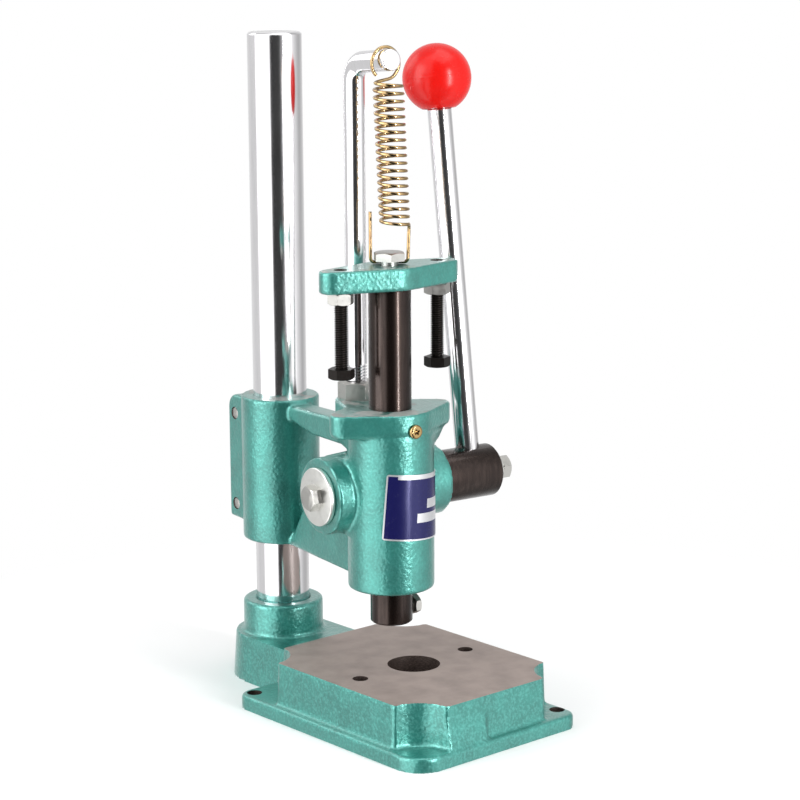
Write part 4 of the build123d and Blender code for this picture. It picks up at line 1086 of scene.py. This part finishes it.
class PRESS_OT_spring(bpy.types.Operator):
    """Wind the return spring: its open loop, its coil and the tail under the crossbar's bolt"""

    bl_idname = "press.spring"
    bl_label = "Return spring"

    def execute(self, context):
        sizes = context.scene.press_sizes
        wire, coil = sizes.wire, sizes.coil
        loop, loop_back, reach, bend = 8.8 * MM, 2.5 * MM, 10.4 * MM, 2.6 * MM
        side_turn, lean = math.radians(-33.7), 3.2 * MM
        loop_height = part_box("return_spring")[1].z - loop - wire
        coil_top = loop_height - 10.5 * MM
        leg_top, wire_seat = BAR_TOP + 22.6 * MM, BAR_TOP + 0.15 * MM + wire
        turns = sizes.coil_turns + (math.pi + side_turn) / math.tau
        pitch = (coil_top - leg_top) / turns

        def beside(out, back, z):
            across = math.cos(side_turn) * out - math.sin(side_turn) * back
            return Vector((across, math.sin(side_turn) * out + math.cos(side_turn) * back, z))

        def loop_point(degrees):
            turn = math.radians(degrees)
            return Vector((loop * math.cos(turn), loop_back, loop_height + loop * math.sin(turn)))

        def coil_point(count):
            turn = math.pi + math.tau * count
            shift = beside(lean * count / turns, 0, coil_top - pitch * count)
            return Vector((coil * math.cos(turn), coil * math.sin(turn), 0)) + shift

        def way_of(path, at, step):
            return (path(at + step) - path(at - step)).normalized()

        # The wire's way: round the open loop, down the coil, and as a tail under the bolt's head
        loop_stops = [225 - 43.6 * i for i in range(8)]
        stations = [(loop_point(a), -way_of(loop_point, a, 0.1)) for a in loop_stops]
        quarters = [i / 4 for i in range(int(turns * 4) + 1)] + [turns]
        stations += [(coil_point(q), way_of(coil_point, q, 0.001)) for q in quarters]
        top = beside(coil + lean, bend, leg_top - bend - wire)
        foot = beside(reach, bend, wire_seat + bend)
        leg = (foot - top).normalized()
        tail = beside(-reach, bend, wire_seat + bend)
        backward, sideways = beside(0, 1, 0), beside(-1, 0, 0)
        turn_back = (sideways + backward * 0.6).normalized()
        turn_front = (sideways - backward * 0.6).normalized()
        down = Vector((0, 0, bend))
        stations += [
            (top, leg),
            (foot, leg),
            (foot + turn_back * bend - down, turn_back),
            (beside(0, 6.6 * MM, wire_seat), sideways),
            (tail - turn_front * bend - down, turn_front),
            (tail, UP),
            (beside(-reach, bend, BAR_TOP + 29.3 * MM), UP),
        ]
        bpy.ops.curve.primitive_bezier_curve_add()
        spring = named("return_spring_wound")
        curve = spring.data
        points = curve.splines[0].bezier_points
        points.add(len(stations) - len(points))
        for i, (place, way) in enumerate(stations):
            before = (place - stations[i - 1][0]).length if i else 0.01 * MM
            after = (stations[i + 1][0] - place).length if i + 1 < len(stations) else 0.01 * MM
            points[i].handle_left_type = points[i].handle_right_type = "FREE"
            points[i].co = place
            # Handles 0.39 times as long as the chord keep a quarter turn round
            points[i].handle_left = place - way * before * 0.39
            points[i].handle_right = place + way * after * 0.39
        curve.dimensions = "3D"
        curve.resolution_u = 7
        curve.bevel_depth = wire
        curve.bevel_resolution = 4
        curve.use_fill_caps = True
        only(spring)
        bpy.ops.object.convert(target="MESH")
        spring = named("return_spring_wound")
        edit(spring)
        bpy.ops.mesh.remove_doubles(threshold=0.001 * MM)
        bpy.ops.mesh.normals_make_consistent(inside=False)
        leave_edit()
        settle(spring, placed(0, 0, 0))
        bpy.ops.object.shade_smooth_by_angle(angle=math.radians(50))
        spring.data.materials.clear()
        spring.data.materials.append(finish("yellow_zinc_wire", yellow_zinc))
        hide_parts("return_spring")
        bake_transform(spring)
        return {"FINISHED"}


class PRESS_OT_plate(bpy.types.Operator):
    """Press and print the blank name plate and bend it round the head"""

    bl_idname = "press.plate"
    bl_label = "Name plate"

    def execute(self, context):
        sizes = context.scene.press_sizes
        width, height, border = sizes.plate_width, sizes.plate_height, sizes.plate_border
        thickness, print_rise, gap = 0.5 * MM, 0.06 * MM, 0.05 * MM
        base_z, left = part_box("name_plate")[0].z, math.radians(-132)
        # Left, right, low and high edge of each bare patch, as shares of the plate
        strip = (0.125, 0.975, 0.93, 0.985)
        boxes = [(0.53, 0.90, 0.48, 0.62), (0.39, 0.90, 0.27, 0.41)]
        patches = [strip, *boxes]

        def within(co, patch):
            left, right, low, high = patch
            return left * width < co.x < right * width and low * height < co.y < high * height

        def raised(co, normal):
            inside = border < co.x < width - border and border < co.y < height - border
            return inside and not within(co, strip)

        bpy.ops.mesh.primitive_plane_add(size=1, location=(0.5, 0.5, 0))
        plate = settle(named("name_plate_pressed"))
        edit(plate)
        bpy.ops.transform.resize(value=(width, height, 1), center_override=(0, 0, 0))
        bpy.ops.mesh.bevel(offset=1.4 * MM, segments=4, affect="VERTICES")
        steps = 44  # flat strips that the bend is made of
        edges_x = {border, width - border} | {width * p[i] for p in patches for i in (0, 1)}
        edges_y = {border, height - border} | {height * p[i] for p in patches for i in (2, 3)}
        lines = [((x, 0, 0), (1, 0, 0)) for x in sorted(edges_x)]
        lines += [((0, y, 0), (0, 1, 0)) for y in sorted(edges_y)]
        lines += [((width * i / steps, 0, 0), (1, 0, 0)) for i in range(1, steps)]
        for place, way in lines:
            bpy.ops.mesh.select_all(action="SELECT")
            bpy.ops.mesh.bisect(plane_co=place, plane_no=way)
        leave_edit()
        plate.data.materials.append(finish("bare_aluminium_plate", bare_plate))
        plate.data.materials.append(finish("printed_blue_plate", printed_plate))
        for face in plate.data.polygons:
            printed = not any(within(face.center, box) for box in boxes)
            face.material_index = int(printed and raised(face.center, face.normal))
        # The print and the boxes in it lie a little over the strip and the rim
        edit(plate)
        pick(plate, "FACE", raised)
        bpy.ops.mesh.extrude_region_move(TRANSFORM_OT_translate={"value": (0, 0, print_rise)})
        bpy.ops.mesh.select_all(action="SELECT")
        bpy.ops.mesh.remove_doubles(threshold=0.001 * MM)
        leave_edit()
        apply_modifier(plate, "SOLIDIFY", thickness=thickness - print_rise, offset=-1)
        middle = Vector((width / 2, height / 2, 0))
        lean = Matrix.Rotation(math.radians(-4.6), 3, "Z")  # as it was stuck on by hand
        for vertex in plate.data.vertices:
            flat = middle + lean @ (vertex.co - middle)
            turn = left + flat.x / BODY_RADIUS
            out = BODY_RADIUS + gap + thickness - print_rise + flat.z
            vertex.co = (out * math.cos(turn), out * math.sin(turn), base_z + flat.y)
        edit(plate)
        bpy.ops.mesh.normals_make_consistent(inside=False)
        leave_edit()
        settle(plate, placed(0, 0, 0))
        dress(plate, None, "name_plate", angle=25)
        return {"FINISHED"}


# ---------------------------------------------------------------- stage


class PRESS_OT_stage(bpy.types.Operator):
    """Set the pale floor, the soft light and the camera"""

    bl_idname = "press.stage"
    bl_label = "Stage, light and camera"

    def execute(self, context):
        yaw, pitch, roll = (math.radians(turn) for turn in CAMERA_TURNS)
        forward = Vector(
            (math.sin(yaw) * math.cos(pitch), math.cos(yaw) * math.cos(pitch), -math.sin(pitch))
        )
        level = forward.cross(UP).normalized()
        upward = level.cross(forward)
        across = level * math.cos(roll) + upward * math.sin(roll)
        bpy.ops.object.camera_add()
        camera = named("camera")
        place = Matrix((across, across.cross(forward), -forward)).transposed().to_4x4()
        place.translation = Vector(CAMERA_PLACE) * MM
        camera.matrix_world = place
        camera.data.sensor_width = SENSOR
        camera.data.lens = SENSOR * FOCAL_PIXELS / PHOTO_PIXELS
        camera.data.clip_start = 0.05
        camera.data.clip_end = 50
        context.scene.camera = camera

        # Large soft lamps: name, bearing from the press, distance, height, width, tall, watts
        lamps = (
            ("soft_left", -195, 1.25, 0.45, 0.8, 1.2, 9.5),
            ("strip_right", -86, 1.50, 0.25, 0.10, 1.3, 20.0),
            ("soft_top", -60, 0.35, 1.35, 1.2, 0.9, 6.5),
            ("soft_back", 110, 1.30, 0.80, 0.9, 0.9, 4.0),
        )
        middle = Vector((0, 40 * MM, 180 * MM))
        for name, bearing, distance, height, width, tall, watts in lamps:
            bpy.ops.object.light_add(type="AREA")
            lamp = named(name)
            turn = math.radians(bearing)
            aside = Vector((math.cos(turn), math.sin(turn), 0)) * distance
            lamp.location = middle + aside + UP * height
            lamp.rotation_euler = (middle - lamp.location).to_track_quat("-Z", "Y").to_euler()
            lamp.data.shape = "RECTANGLE"
            lamp.data.size, lamp.data.size_y = width, tall
            lamp.data.energy = watts

        self.set_world(context)
        self.lay_floor()
        context.scene.view_settings.view_transform = "Standard"
        return {"FINISHED"}

    def set_world(self, context):
        """White to the eye, even light on the object, and a studio's dark gaps for the chrome."""
        world = bpy.data.worlds.new("studio")
        context.scene.world = world
        world.use_nodes = True
        tree = world.node_tree
        background = tree.nodes["Background"]
        rays = add_node(tree, "LightPath").outputs
        direction = add_node(tree, "TexCoord").outputs["Generated"]
        split = add_node(tree, "SeparateXYZ", {0: direction}).outputs
        bearing = maths(tree, "ARCTAN2", split["Y"], split["X"])
        share = ranged(tree, bearing, (-math.pi, math.pi))
        bands = add_node(tree, "ValToRGB", {0: share})
        # Where each stop stands on the way round the horizon, and how bright it is
        stops = (
            (0.0, 2.5), (0.072, 2.2), (0.092, 0.05), (0.196, 0.04), (0.225, 0.30), (0.255, 0.45),
            (0.285, 0.85), (0.310, 1.5), (0.350, 1.5), (0.375, 1.0), (0.40, 0.85), (0.44, 0.62),
            (0.47, 0.50), (0.52, 0.60), (0.60, 0.85), (0.70, 0.85), (0.80, 0.75), (0.885, 0.75),
            (0.92, 2.4), (1.0, 2.5),
        )
        ramp = bands.color_ramp
        while len(ramp.elements) < len(stops):
            ramp.elements.new(0.5)
        for element, (position, level) in zip(ramp.elements, stops):
            element.position = position
            element.color = (level, level, level, 1)
        lit = mix_colours(tree, rays["Is Glossy Ray"], (0.62, 0.62, 0.62), bands.outputs[0])
        feed(background, Color=mix_colours(tree, rays["Is Camera Ray"], lit, (1, 1, 1)))

    def lay_floor(self):
        """A pale floor that keeps the press's shadow and fades to white further out."""
        bpy.ops.mesh.primitive_circle_add(vertices=128, radius=0.62, fill_type="NGON")
        floor = named("floor")
        material, tree, shader, place = new_finish("matt_white_floor", Roughness=0.9)
        feed(shader, Base_Color=rgba(linear("#f6f6f6")))
        distance = add_node(tree, "VectorMath", {0: place}, operation="LENGTH").outputs["Value"]
        far = ranged(tree, distance, (0.22, 0.42))
        rays = add_node(tree, "LightPath").outputs
        share = maths(tree, "MULTIPLY", far, rays["Is Camera Ray"])
        white = add_node(tree, "Emission", {"Color": (1, 1, 1, 1), "Strength": 1.0}).outputs[0]
        mixed = add_node(tree, "MixShader", {0: share, 1: shader.outputs[0], 2: white}).outputs[0]
        # Metal mirrors the studio's bands below the horizon too, as over a small light table
        clear = add_node(tree, "BsdfTransparent").outputs[0]
        mirrored = add_node(tree, "MixShader", {0: rays["Is Glossy Ray"], 1: mixed, 2: clear})
        plug(tree.nodes["Material Output"], "Surface", mirrored.outputs[0])
        floor.data.materials.append(material)


OPERATORS = (
    PRESS_OT_stage,
    PRESS_OT_base,
    PRESS_OT_head,
    PRESS_OT_crossbar,
    PRESS_OT_bars,
    PRESS_OT_hook_rod,
    PRESS_OT_knob,
    PRESS_OT_stops,
    PRESS_OT_bolts,
    PRESS_OT_oil_screw,
    PRESS_OT_spring,
    PRESS_OT_plate,
)


class PRESS_PT_panel(bpy.types.Panel):
    """The press's pieces, sizes and colours"""

    bl_idname = "PRESS_PT_panel"
    bl_label = "Manual desk press"
    bl_space_type = "VIEW_3D"
    bl_region_type = "UI"
    bl_category = "Press"

    def draw(self, context):
        for operator in OPERATORS:
            self.layout.operator(operator.bl_idname)
        for group in (context.scene.press_sizes, context.scene.press_colours):
            box = self.layout.box()
            for key in group.__annotations__:
                box.prop(group, key)


CLASSES = (PressColours, PressSizes, *OPERATORS, PRESS_PT_panel)


def register():
    for cls in CLASSES:
        bpy.utils.register_class(cls)
    bpy.types.Scene.press_colours = PointerProperty(type=PressColours)
    bpy.types.Scene.press_sizes = PointerProperty(type=PressSizes)


def unregister():
    del bpy.types.Scene.press_sizes
    del bpy.types.Scene.press_colours
    for cls in reversed(CLASSES):
        bpy.utils.unregister_class(cls)


def main():
    register()
    for operator in OPERATORS:
        group, name = operator.bl_idname.split(".")
        getattr(getattr(bpy.ops, group), name)()


if __name__ == "__main__":
    main()
